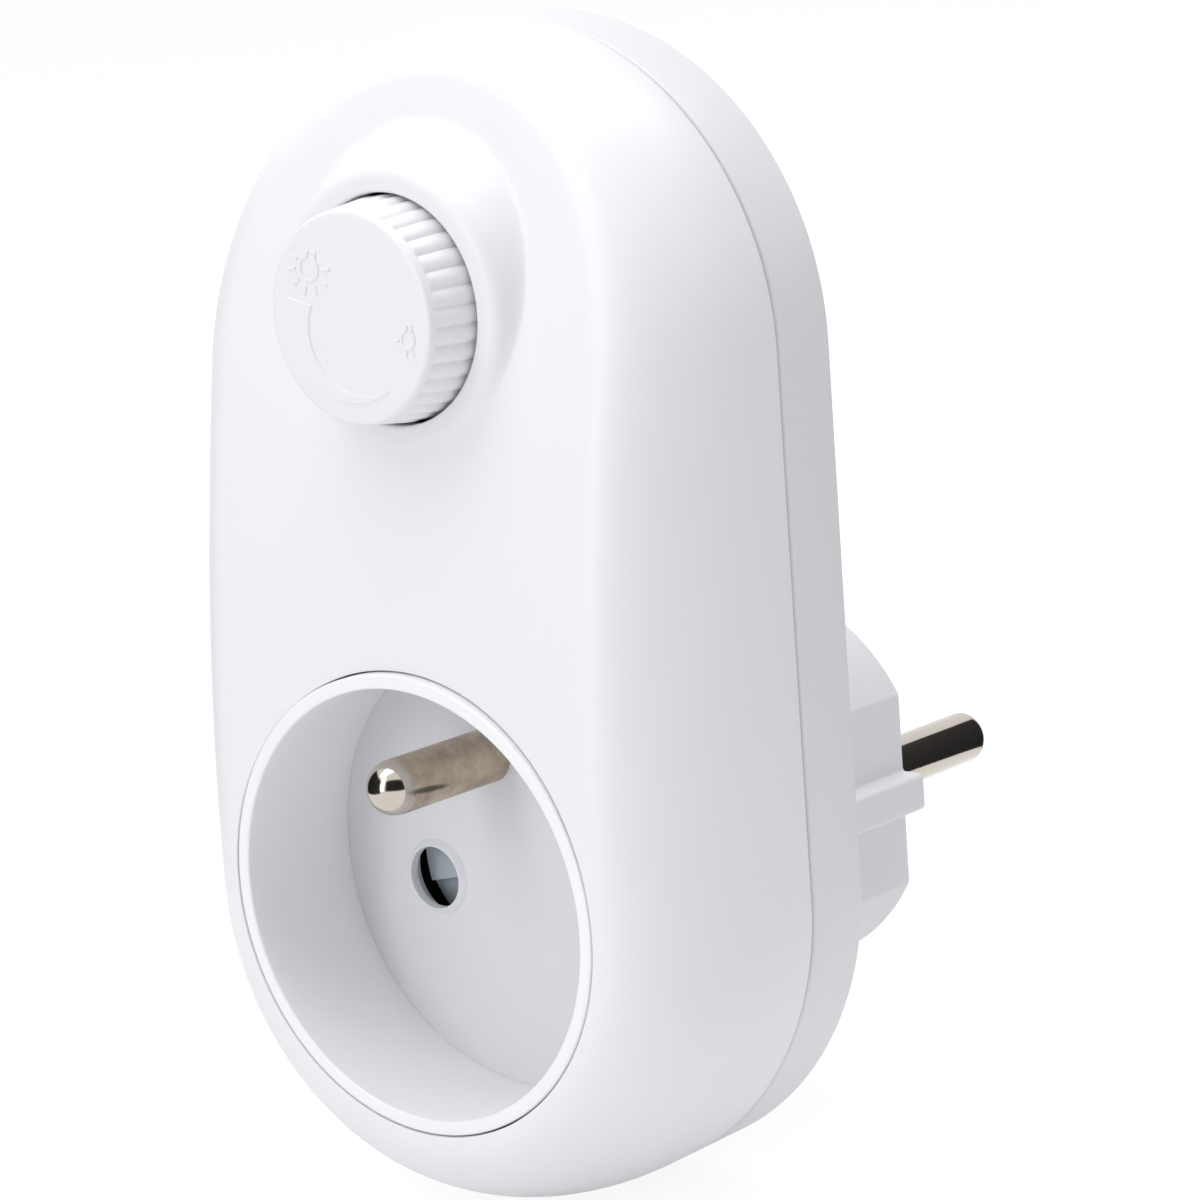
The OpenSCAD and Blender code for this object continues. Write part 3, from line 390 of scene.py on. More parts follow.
def rolled_metal(name, hex_colour, rough=0.3, grain=0.25 * MM, stretch=0.08):
    """Sheet or wire metal, rolled or drawn: lines along the strip, made coarse enough to show, and
    small stains that dull it."""
    base = linear(hex_colour)
    finish, tree, where = new_finish(name)
    along = add(tree, "ShaderNodeMapping", {"Vector": where, "Scale": (1.0, stretch, 1.0)})
    lines = add(tree, "ShaderNodeTexNoise", {"Vector": along, "Scale": 1 / grain, "Detail": 3.0})
    stain = add(tree, "ShaderNodeTexNoise", {"Vector": where, "Scale": 1 / (3 * MM), "Detail": 4.0})
    tone = add(tree, "ShaderNodeMix", {0: stain, 6: base, 7: dimmed(base, 0.78)}, data_type="RGBA")
    gloss = add(tree, "ShaderNodeMapRange", {"Value": lines, "From Min": 0.3, "From Max": 0.7,
                                             "To Min": rough - 0.06, "To Max": rough + 0.1})
    relief = add(tree, "ShaderNodeBump", {"Height": lines, "Strength": 0.15, "Distance": 0.02 * MM})
    surface(tree, {"Base Color": tone, "Metallic": 1.0, "Roughness": gloss, "Normal": relief})
    return finish


def coated_body(name, hex_colour, rough=0.4, grain=0.6 * MM, spread=0.2):
    """Lacquer, laminate or powder on a small component: a mottled colour with a slight relief."""
    base = linear(hex_colour)
    finish, tree, where = new_finish(name)
    mottle = add(tree, "ShaderNodeTexNoise", {"Vector": where, "Scale": 1 / grain, "Detail": 4.0})
    tone = add(tree, "ShaderNodeMix", {0: mottle, 6: base, 7: dimmed(base, 1 - spread)}, data_type="RGBA")
    gloss = add(tree, "ShaderNodeMapRange", {"Value": mottle, "From Min": 0.3, "From Max": 0.7,
                                             "To Min": rough - 0.05, "To Max": rough + 0.08})
    relief = add(tree, "ShaderNodeBump", {"Height": mottle, "Strength": 0.1, "Distance": 0.05 * MM})
    surface(tree, {"Base Color": tone, "Roughness": gloss, "Normal": relief})
    return finish


def drawn_glass(name, hex_colour):
    """Drawn glass tube: clear, with a faint waviness along it."""
    finish, tree, where = new_finish(name)
    waves = add(tree, "ShaderNodeTexNoise", {"Vector": where, "Scale": 1 / (1.5 * MM), "Detail": 1.0})
    relief = add(tree, "ShaderNodeBump", {"Height": waves, "Strength": 0.05, "Distance": 0.02 * MM})
    surface(tree, {"Base Color": linear(hex_colour), "IOR": 1.5, "Transmission Weight": 1.0,
                   "Roughness": 0.03, "Normal": relief})
    return finish


def flock_card():
    """Black flocked card: a deep, even black with a short nap."""
    finish, tree, where = new_finish("black_flock_card")
    nap = add(tree, "ShaderNodeTexNoise", {"Vector": where, "Scale": 1 / (5 * MM), "Detail": 2.0})
    tone = add(tree, "ShaderNodeMix", {0: nap, 6: linear("#1A1A1C"), 7: linear("#242426")},
               data_type="RGBA")
    surface(tree, {"Base Color": tone, "Roughness": 0.95})
    return finish


def any_view(tree):
    """One for what the camera sees, straight, mirrored or through glass, and nought for all other light."""
    seen = add(tree, "ShaderNodeLightPath").outputs
    straight = add(tree, "ShaderNodeMath", {0: seen["Is Camera Ray"], 1: seen["Is Glossy Ray"]},
                   operation="MAXIMUM")
    return add(tree, "ShaderNodeMath", {0: straight, 1: seen["Is Transmission Ray"]}, operation="MAXIMUM")


def painted_floor():
    """Matt painted board, seen white, and a little darker where the object shades it."""
    finish, tree, where = new_finish("matt_painted_floor")
    grain = add(tree, "ShaderNodeTexNoise", {"Vector": where, "Scale": 1 / (30 * MM), "Detail": 3.0})
    tone = add(tree, "ShaderNodeMix", {0: grain, 6: linear("#F2F2F3"), 7: linear("#F0F0F2")},
               data_type="RGBA")
    paint = add(tree, "ShaderNodeBsdfPrincipled", {"Base Color": tone, "Roughness": 0.9,
                                                   "Specular IOR Level": 0.1})
    glow = add(tree, "ShaderNodeEmission", {"Color": (1.0, 1.0, 1.0, 1.0), "Strength": 1.12})
    share = add(tree, "ShaderNodeMath", {0: any_view(tree), 1: 0.8}, operation="MULTIPLY")
    both = add(tree, "ShaderNodeMixShader", {0: share, 1: paint, 2: glow})
    add(tree, "ShaderNodeOutputMaterial", {"Surface": both})
    return finish


def even_surround(fill):
    """World that lights evenly from all round and is seen white."""
    world = bpy.data.worlds.new("even_surround")
    world.use_nodes = True
    tree = world.node_tree
    tree.nodes.clear()
    strength = add(tree, "ShaderNodeMapRange", {"Value": any_view(tree), "To Min": fill, "To Max": 1.0})
    light = add(tree, "ShaderNodeBackground", {"Color": (1.0, 1.0, 1.0, 1.0), "Strength": strength})
    add(tree, "ShaderNodeOutputWorld", {"Surface": light})
    return world


def shape_tree(name, inputs):
    """A new Geometry Nodes tree with a geometry input and output and the named inputs."""
    tree = bpy.data.node_groups.new(name, "GeometryNodeTree")
    tree.interface.new_socket("Geometry", in_out="INPUT", socket_type="NodeSocketGeometry")
    for label, kind in inputs:
        tree.interface.new_socket(label, in_out="INPUT", socket_type=kind)
    tree.interface.new_socket("Geometry", in_out="OUTPUT", socket_type="NodeSocketGeometry")
    return tree, tree.nodes.new("NodeGroupInput").outputs


def finish_tree(tree, geometry, material):
    """Ends a tree: instances become real faces and take their material."""
    real = add(tree, "GeometryNodeRealizeInstances", {"Geometry": geometry})
    joined = add(tree, "GeometryNodeMergeByDistance", {"Geometry": real, "Distance": 0.004 * MM})
    smooth = add(tree, "GeometryNodeSetShadeSmooth", {"Geometry": joined})
    dressed = add(tree, "GeometryNodeSetMaterial", {"Geometry": smooth, "Material": material})
    add(tree, "NodeGroupOutput", {"Geometry": dressed})


def copies_round_axis():
    """Tree: even copies of a piece round an axis along Y, over a part of a turn."""
    tree, given = shape_tree("Copies round an axis", [
        ("Count", "NodeSocketInt"), ("Sweep", "NodeSocketFloat"), ("Start", "NodeSocketFloat"),
        ("Centre", "NodeSocketVector"), ("Material", "NodeSocketMaterial")])
    back = add(tree, "ShaderNodeVectorMath", {0: given["Centre"], "Scale": -1.0}, operation="SCALE")
    home = add(tree, "GeometryNodeTransform", {"Geometry": given["Geometry"], "Translation": back})
    spots = add(tree, "GeometryNodeMeshLine", {"Count": given["Count"], "Start Location": given["Centre"],
                                               "Offset": (0.0, 0.0, 0.0)})
    step = add(tree, "ShaderNodeMath", {0: given["Sweep"], 1: given["Count"]}, operation="DIVIDE")
    number = add(tree, "GeometryNodeInputIndex")
    turn = add(tree, "ShaderNodeMath", {0: number, 1: step, 2: given["Start"]}, operation="MULTIPLY_ADD")
    angle = add(tree, "ShaderNodeCombineXYZ", {"Y": turn})
    copies = add(tree, "GeometryNodeInstanceOnPoints", {"Points": spots, "Instance": home,
                                                        "Rotation": angle})
    finish_tree(tree, copies, given["Material"])
    return tree


def copies_on_points():
    """Tree: a copy of one piece on every point."""
    tree, given = shape_tree("Copies on points", [
        ("Piece", "NodeSocketObject"), ("Material", "NodeSocketMaterial")])
    piece = add(tree, "GeometryNodeObjectInfo", {"Object": given["Piece"]}).outputs["Geometry"]
    copies = add(tree, "GeometryNodeInstanceOnPoints", {"Points": given["Geometry"], "Instance": piece})
    finish_tree(tree, copies, given["Material"])
    return tree


def tube_along_path():
    """Tree: a round tube along every path of edges."""
    tree, given = shape_tree("Tube along a path", [
        ("Radius", "NodeSocketFloat"), ("Sides", "NodeSocketInt"), ("Material", "NodeSocketMaterial")])
    path = add(tree, "GeometryNodeMeshToCurve", {"Mesh": given["Geometry"]})
    ring = add(tree, "GeometryNodeCurvePrimitiveCircle", {"Resolution": given["Sides"],
                                                          "Radius": given["Radius"]})
    tube = add(tree, "GeometryNodeCurveToMesh", {"Curve": path, "Profile Curve": ring, "Fill Caps": True})
    finish_tree(tree, tube, given["Material"])
    return tree


def grown(mesh, tree, values, sharp=35):
    """The plain mesh that a tree makes from a starting mesh and the values of its inputs."""
    seed = bpy.data.objects.new(mesh.name, mesh)
    bpy.context.scene.collection.objects.link(seed)
    modifier = seed.modifiers.new("shape", "NODES")
    modifier.node_group = tree
    for item in tree.interface.items_tree:
        if item.in_out == "INPUT" and item.name in values:
            modifier[item.identifier] = values[item.name]
    view = bpy.context.evaluated_depsgraph_get()
    made = bpy.data.meshes.new_from_object(seed.evaluated_get(view))
    seed.modifiers.clear()
    bpy.data.objects.remove(seed)
    if not made.polygons:
        raise RuntimeError(f"{mesh.name} came out empty")
    made.set_sharp_from_angle(angle=math.radians(sharp))
    return made


def path_mesh(name, paths):
    """A mesh of open or closed paths, each a list of points and whether it closes."""
    points, edges = [], []
    for path, closed in paths:
        start = len(points)
        points.extend(path)
        edges.extend((start + i, start + i + 1) for i in range(len(path) - 1))
        if closed:
            edges.append((len(points) - 1, start))
    mesh = bpy.data.meshes.new(name)
    mesh.from_pydata(points, edges, [])
    return mesh


def tubes(name, paths, radius, sides, finish):
    """Round tubes along open or closed paths."""
    return grown(path_mesh(name, paths), tube_along_path(), {
        "Radius": radius, "Sides": sides, "Material": finish}, 60)


def rays(h, side_count, arc_count):
    """Rays of the round-ended outline: the height of each one's foot and its outward direction."""
    rise = h.top - h.low
    found = [(h.low + rise * i / side_count, 1.0, 0.0) for i in range(side_count)]
    turns = [math.pi * i / arc_count for i in range(arc_count)]
    found += [(h.top, math.cos(a), math.sin(a)) for a in turns]
    found += [(h.top - rise * i / side_count, -1.0, 0.0) for i in range(side_count)]
    return found + [(h.low, -math.cos(a), -math.sin(a)) for a in turns]


def ring(all_rays, r, y):
    """A row of points of the outline of a given end radius."""
    return [(dx * r, y, foot + dz * r) for foot, dx, dz in all_rays]


def lean(h, z):
    """How far the face lies behind the rim plane at a height."""
    return max(z, 0.0) ** 2 / (2 * h.lean_radius)


def edge_size(h, z):
    """Width and depth of the rounded front edge at a height of the outline."""
    width = h.edge_width - h.edge_loss * (max(z - h.top, 0.0) / h.end_radius) ** 2
    band = 1 * MM
    return width, min(h.edge_depth, h.parting - h.rim - lean(h, z) - band)


def face_y(h, x, z):
    """Depth of the bare front face, its rounded edge included, at a place seen from the front."""
    foot = min(max(z, h.low), h.top)
    reach = math.hypot(x, z - foot)
    width, depth = edge_size(h, foot + (z - foot) / max(reach, 1e-9) * h.end_radius)
    inset = h.end_radius - reach
    y = h.rim + lean(h, z)
    if inset < width:
        y += depth * (1 - math.sqrt(max(0.0, 1 - (1 - inset / width) ** 2)))
    return y


def boss_y(h, rho):
    """Depth of the ring that stands up round the knob, at a distance from the knob's axis."""
    crest, soft, top, foot, drop = h.rim + h.boss, 1.6 * MM, 12.4 * MM, 14.7 * MM, 5.4 * MM
    middle, slant = top - soft, math.radians(20)
    if rho <= middle:
        return crest
    knee = middle + soft * math.cos(slant)
    if rho <= knee:
        return crest + soft - math.sqrt(soft ** 2 - (rho - middle) ** 2)
    knee_y = crest + soft * (1 - math.sin(slant))
    return knee_y + (crest + drop - knee_y) * (rho - knee) / (foot - knee)


def soft_min(a, b, reach):
    """The lesser of two depths, with a soft fillet where they are close."""
    near = max(reach - abs(a - b), 0.0) / reach
    return min(a, b) - near * near * reach / 4


def front_y(h, k, x, z):
    """Depth of the front at a place: the bare face, softly joined to the ring round the knob."""
    return soft_min(face_y(h, x, z), boss_y(h, math.hypot(x, z - k.height)), h.fillet)


def rolled(r, soft):
    """Radii and drops of an edge that rolls over into a hole, from the hole's wall outwards."""
    return [(r + soft * (1 - q), soft * v) for q, v in reversed(quarter(5))]


def screw_places(h):
    """Places of the four housing screws, seen from the front."""
    low = (16.2 * MM, h.low - 16.2 * MM)
    high = (15.5 * MM, h.top + 16.5 * MM)
    return [(side * x, z) for x, z in (low, high) for side in (1, -1)]


def board_places():
    """Places of the two screws of the circuit board."""
    return [(side * 21.3 * MM, 28 * MM) for side in (1, -1)]


class DIMMER_OT_front_housing(Operator):
    """White front moulding: a leaning face with a wide rounded edge and a soft ring round the knob"""
    bl_idname = "dimmer.front_housing"
    bl_label = "Front housing"

    def execute(self, context):
        d = context.scene.dimmer
        h, k, s = d.housing, d.knob, d.socket
        outline = rays(h, 36, 96)
        hole = s.outside + s.gap
        outer, inner, flat = [], [], []

        def add_point(out, deep, plan):
            outer.append(out)
            inner.append(deep)
            flat.append(plan)
            return len(outer) - 1

        def on_face(x, z, drop=0.0):
            y = front_y(h, k, x, z)
            return add_point((x, y + drop, z), (x, y + h.wall, z), (x, z))

        def rows_round(height, rings, count):
            return [[on_face(x, z, drop) for x, _, z in circle(0, 0, height, r, count)]
                    for r, drop in rings]

        # The rounded edge, ring by ring from the face to the side; its plan is unrolled for even faces
        steps, hole_margin = 24, 1.2 * MM
        reach = [h.end_radius - edge_size(h, foot + dz * h.end_radius)[0] for foot, dx, dz in outline]
        last = [None] * len(outline)
        for i in range(steps + 1):
            a = math.pi / 2 * (1 - i / steps)
            side = []
            for j, (foot, dx, dz) in enumerate(outline):
                width, depth = edge_size(h, foot + dz * h.end_radius)
                r = h.end_radius - width * (1 - math.cos(a))
                fall = depth * (1 - math.sin(a))
                if last[j]:
                    reach[j] += math.hypot(r - last[j][0], fall - last[j][1])
                last[j] = (r, fall)
                z = foot + dz * r
                if math.hypot(dx * r, z) < hole + hole_margin:
                    side.append(None)
                    continue
                r_in = h.end_radius - h.wall - (width - h.wall) * (1 - math.cos(a))
                z_in = foot + dz * r_in
                fall_in = h.wall + (depth - h.wall) * (1 - math.sin(a))
                side.append(add_point((dx * r, h.rim + lean(h, z) + fall, z),
                                      (dx * r_in, h.rim + lean(h, z_in) + fall_in, z_in),
                                      (dx * reach[j], foot + dz * reach[j])))

        # Rings round the socket, the first one in the gap round the insert, and rings of the knob boss
        crisp, flat_rim, lip = 0.12 * MM, 0.8 * MM, 0.3 * MM
        mouth = rows_round(0, rolled(hole, crisp) + [(hole + flat_rim, 0.0)], 200)[0]
        crest_steps = [0.5, 0.8, 1.05, 1.3, 1.55, 1.8, 2.0, 2.15, 2.3, 2.5]
        flank_steps = [2.75 + 0.25 * i for i in range(20)]
        boss = [(k.hole + step * MM, 0.0) for step in crest_steps + flank_steps]
        keyway = rows_round(k.height, rolled(k.hole, lip) + boss, 144)[0]

        # Loose points over the rest of the face, in staggered rows
        pitch, row_pitch = 1.3 * MM, 0.866
        edge_room, hole_room, boss_room = 0.6 * MM, hole + 1.6 * MM, k.hole + 8.2 * MM
        for m in range(-20, 70):
            for n in range(-20, 21):
                x, z = pitch * (n + 0.5 * (m % 2)), pitch * row_pitch * m
                foot = min(max(z, h.low), h.top)
                r = math.hypot(x, z - foot)
                width = edge_size(h, foot + (z - foot) / max(r, 1e-9) * h.end_radius)[0]
                if (h.end_radius - r > width + edge_room and math.hypot(x, z) > hole_room
                        and math.hypot(x, z - k.height) > boss_room):
                    on_face(x, z)

        faces = region(flat, [side, mouth, keyway], list(range(len(flat))))
        shell = Shell()
        front, back = shell.loop(outer), shell.loop(inner)
        shell.faces += [tuple(front[i] for i in f) for f in faces]
        shell.faces += [tuple(back[i] for i in reversed(f)) for f in faces]
        end, soft_edge = h.parting - h.seam / 2, 0.22 * MM
        rows = [[front[i] for i in side]]
        rows += [shell.loop(ring(outline, h.end_radius - soft_edge * v, end - soft_edge * (1 - q)))
                 for q, v in quarter(4)]
        rows += [shell.loop(ring(outline, h.end_radius - h.wall, end)), [back[i] for i in side]]
        shell.skin(rows)
        for row in (mouth, keyway):
            shell.bridge([front[i] for i in row], [back[i] for i in row])
        self.posts(shell, h, s, end)
        white = moulded_plastic("moulded_ABS_white_housing", d.finish.housing)
        place(shell.mesh("front_housing_moulding"), "front_housing_moulding", "case", white,
              ["front_housing"])
        return {"FINISHED"}

    @staticmethod
    def posts(shell, h, s, end):
        """Screw posts and the insert's seat; a row without a depth lies in the middle of the wall."""
        def column(x, z, profile):
            rows = [shell.loop([(px, face_y(h, px, pz) + h.wall / 2 if y is None else y, pz)
                                for px, _, pz in circle(x, 0, z, r, 48)]) for r, y in profile]
            shell.skin(rows + rows[:1])

        board = h.parting + 0.3 * MM
        for places, r, pilot, top, depth in ((screw_places(h), 2.5 * MM, 1.1 * MM, end, 8 * MM),
                                             (board_places(), 2.2 * MM, 0.9 * MM, board, 6.5 * MM)):
            for x, z in places:
                column(x, z, [(0, None), (r, None), (r, top), (pilot, top), (pilot, top - depth),
                              (0, top - depth)])
        seat, seat_in, seat_out = h.rim + s.seat, s.outside + s.gap + 0.05 * MM, 21.9 * MM
        column(0, 0, [(seat_in, None), (seat_out, None), (seat_out, seat), (seat_in, seat)])


def rounded(corners):
    """A closed row of [x, z] points from corners of [x, z, radius], each rounded to its radius."""
    made = []
    for i, (x, z, radius) in enumerate(corners):
        here = Vector((x, z))
        before = Vector(corners[i - 1][:2]) - here
        after = Vector(corners[(i + 1) % len(corners)][:2]) - here
        before.normalize()
        after.normalize()
        half = math.acos(max(-1.0, min(1.0, before.dot(after)))) / 2
        if radius == 0 or half > math.radians(88):
            made.append((x, z))
            continue
        middle = here + (before + after).normalized() * (radius / math.sin(half))
        start = here + before * (radius / math.tan(half)) - middle
        finish = here + after * (radius / math.tan(half)) - middle
        for n in range(6):
            t = n / 5
            out = (start * (1 - t) + finish * t).normalized() * radius
            made.append(tuple(middle + out))
    return made


def outward(row):
    """Outward direction at every point of a closed row of [x, z] points that runs anticlockwise."""
    spots = [Vector(p) for p in row]
    count = len(spots)
    found = []
    for i, here in enumerate(spots):
        before = next(spots[i - n] for n in range(1, count) if (spots[i - n] - here).length > 0.01 * MM)
        after = next(spots[(i + n) % count] for n in range(1, count)
                     if (spots[(i + n) % count] - here).length > 0.01 * MM)
        way = after - before
        found.append(Vector((way.y, -way.x)).normalized())
    return found


def plug_section(p, sunken):
    """Section of the plug body: a circle with two flats, a guide rib on each flat, and a strip groove
    above and below that is sunken or filled."""
    half, soft, root, edge = p.rib_width / 2, 0.45 * MM, 0.3 * MM, 0.5 * MM
    groove, sunk = 3.1 * MM, 17.1 * MM
    rib_x = math.sqrt(p.radius ** 2 - half ** 2)
    flat_z = math.sqrt(p.radius ** 2 - p.flat ** 2)
    start, stop = math.atan2(flat_z, p.flat), math.acos(groove / p.radius)
    arc = [start + (stop - start) * i / 24 for i in range(1, 24)]
    corner = [(p.radius * math.cos(a), p.radius * math.sin(a), 0) for a in arc]
    side = [(p.flat, -flat_z, edge), (p.flat, -half, root), (rib_x, -half, soft),
            (rib_x, half, soft), (p.flat, half, root), (p.flat, flat_z, edge)]
    low = [(x, -z, c) for x, z, c in reversed(corner)]
    right = rounded([(0, -p.flat, 0)] + low + side + corner + [(0, p.flat, 0)])[1:-1]
    groove_z = math.sqrt(p.radius ** 2 - groove ** 2)
    steps = [groove * (1 - i / 6) for i in range(13)]
    top = [(x, sunk if sunken else math.sqrt(p.radius ** 2 - x * x)) for x in steps]
    right += [(groove, groove_z)] + top + [(-groove, groove_z)]
    return right + [(-x, -z) for x, z in right]


class DIMMER_OT_rear_cover(Operator):
    """White rear moulding: a plain band, a flat back with sunk screws, and the plug body"""
    bl_idname = "dimmer.rear_cover"
    bl_label = "Rear cover"

    def execute(self, context):
        d = context.scene.dimmer
        h, p = d.housing, d.plug
        shell = Shell()
        outline = rays(h, 24, 96)
        back_edge, front_edge = 0.5 * MM, 0.35 * MM
        front, inside = h.parting + h.seam / 2, p.back - h.wall
        play, tongue_wall, tongue_end = 0.1 * MM, 1.4 * MM, h.parting - 2 * MM
        tongue = h.end_radius - h.wall - play
        band = [(h.end_radius - back_edge * v, p.back - back_edge * (1 - q))
                for q, v in reversed(quarter(5))]
        band += [(h.end_radius - front_edge * v, front + front_edge * (1 - q)) for q, v in quarter(5)]
        band += [(tongue, front), (tongue, tongue_end), (tongue - tongue_wall, tongue_end),
                 (tongue - tongue_wall, inside)]
        rows = [shell.loop(ring(outline, r, y)) for r, y in band]
        shell.skin(rows)

        def at(row, y, grow=0.0):
            return shell.loop([(x + n.x * grow, y, z + n.y * grow) for (x, z), n in zip(row, outward(row))])

        # Walls of the plug body, whose strip grooves stop short of its end
        deep, plain = plug_section(p, True), plug_section(p, False)
        stop_y, end_soft, foot = -1 * MM, 0.4 * MM, 0.25 * MM
        walls = [at(deep, p.back + foot * v, foot * (1 - q)) for q, v in quarter(3)]
        walls += [at(deep, stop_y), at(plain, stop_y)]
        walls += [at(plain, -end_soft * (1 - q), -end_soft * v) for q, v in quarter(5)]
        shell.skin(walls)

        # Holes in the plug's end: the earth hole and the two pin shanks, through to the hollow inside
        hollow_end, hollow_r, hollow_x = -3 * MM, 15.4 * MM, 13.7 * MM
        turn = math.acos(hollow_x / hollow_r)
        bow = [turn + (math.pi - 2 * turn) * i / 32 for i in range(33)]
        hollow = [(hollow_r * math.cos(a), hollow_r * math.sin(a)) for a in bow]
        hollow += [(-x, -z) for x, z in hollow]
        hollow_rows = [at(hollow, inside), at(hollow, hollow_end)]
        shell.skin(hollow_rows)
        ends, inner_ends = [walls[-1]], [hollow_rows[1]]
        shank, earth, bevel = 2.02 * MM, 2.7 * MM, 0.35 * MM
        earth_bore = [(earth + bevel, 0), (earth, -bevel), (earth, hollow_end)]
        pin_bore = [(shank, 0), (shank, hollow_end)]
        for x, z, profile in ((0, p.earth, earth_bore), (p.pitch / 2, 0, pin_bore),
                              (-p.pitch / 2, 0, pin_bore)):
            bore = shell.turned(profile, x, z, 48)
            ends.append(bore[0])
            inner_ends.append(bore[-1])
        shell.fill(ends)
        shell.fill(inner_ends)
        shell.fill([rows[-1], hollow_rows[0]])

        # Sunk seats of the four housing screws
        back_rows = [rows[0], walls[0]]
        seat_r, seat_bevel, seat_floor = 2.9 * MM, 0.2 * MM, p.back - 1.9 * MM
        for x, z in screw_places(h):
            seat = shell.turned([(seat_r + seat_bevel, p.back), (seat_r, p.back - seat_bevel),
                                 (seat_r, seat_floor)], x, z, 48)
            shell.fan(seat[-1], (x, seat_floor, z))
            back_rows.append(seat[0])
        shell.fill(back_rows)
        white = moulded_plastic("moulded_ABS_white_cover", d.finish.cover, rough=0.4)
        place(shell.mesh("rear_cover_moulding", 32), "rear_cover_moulding", "case", white,
              ["rear_cover"])
        return {"FINISHED"}


class DIMMER_OT_socket_insert(Operator):
    """White cup of the socket: a narrow rim, a wall that opens toward its floor, and the floor's holes"""
    bl_idname = "dimmer.socket_insert"
    bl_label = "Socket insert"

    def execute(self, context):
        d = context.scene.dimmer
        h, s, p = d.housing, d.socket, d.plug
        shell = Shell()
        soft, back = 0.25 * MM, s.floor + s.floor_thickness
        seat, flange = h.rim + s.seat, 20.95 * MM
        skirt, skirt_end = 18.4 * MM, s.floor + 7 * MM
        inner, sunk = s.floor_radius - s.joint, s.floor + s.joint
        profile = [(inner, s.floor), (inner, sunk), (s.floor_radius, sunk), (s.floor_radius, s.floor)]
        profile += [(s.recess + soft * v, h.rim + soft * (1 - q)) for q, v in quarter(5)]
        profile += [(s.outside - soft * (1 - q), h.rim + soft * v) for q, v in quarter(5)]
        profile += [(s.outside, seat), (flange, seat), (flange, back), (s.outside, back),
                    (s.outside, skirt_end), (skirt, skirt_end), (skirt, back)]
        rows = shell.turned(profile, 0, 0, 192)
        front_rows, back_rows = [rows[0]], [rows[-1]]
        c, sn = math.cos(s.turn), math.sin(s.turn)
        half = p.pitch / 2
        hole, slope, crest, relief = s.contact_hole, 0.62 * MM, 0.1 * MM, 1.2 * MM
        top, hole_end = s.floor - s.collar, s.floor - s.collar + 0.9 * MM
        contact = [(hole + slope, s.floor), (hole + 2 * crest, top + 0.5 * crest)]
        contact += [(hole + crest * (1 - q), top + crest * v) for q, v in quarter(3)]
        contact += [(hole, hole_end), (hole + relief, s.floor + relief), (hole + relief, back)]
        neck = 2.05 * MM
        pin = [(neck, s.floor), (neck, back)]
        for x, z, bore in ((half * c, half * sn, contact), (-half * c, -half * sn, contact),
                           (-p.earth * sn, p.earth * c, pin)):
            walls = shell.turned(bore, x, z, 64)
            front_rows.append(walls[0])
            back_rows.append(walls[-1])
        shell.fill(front_rows)
        shell.fill(back_rows)
        cup = shell.mesh("socket_cup", 30)
        # One white moulding in three tints: the rim and wall keep the insert's white, while the flat floor
        # and the collars take darker tints as painted shade of the recess
        for area, base, rough in (("insert", d.finish.insert, 0.38), ("floor", d.finish.floor, 0.4),
                                  ("collars", d.finish.collar, 0.4)):
            cup.materials.append(moulded_plastic("moulded_ABS_white_" + area, base, rough))
        for face in cup.polygons:
            x, y, z = face.center
            # Flat floor inside the wall's foot: the darkest tint, painted shade
            if abs(y - s.floor) < 0.001 * MM and math.hypot(x, z) < inner:
                face.material_index = 1
            # Collars and contact hole walls: a less dark tint, painted shade
            elif y < hole_end and math.hypot(x, z) < half + hole + slope:
                face.material_index = 2
        place(cup, "socket_cup", "case", None, ["socket_insert"])
        return {"FINISHED"}


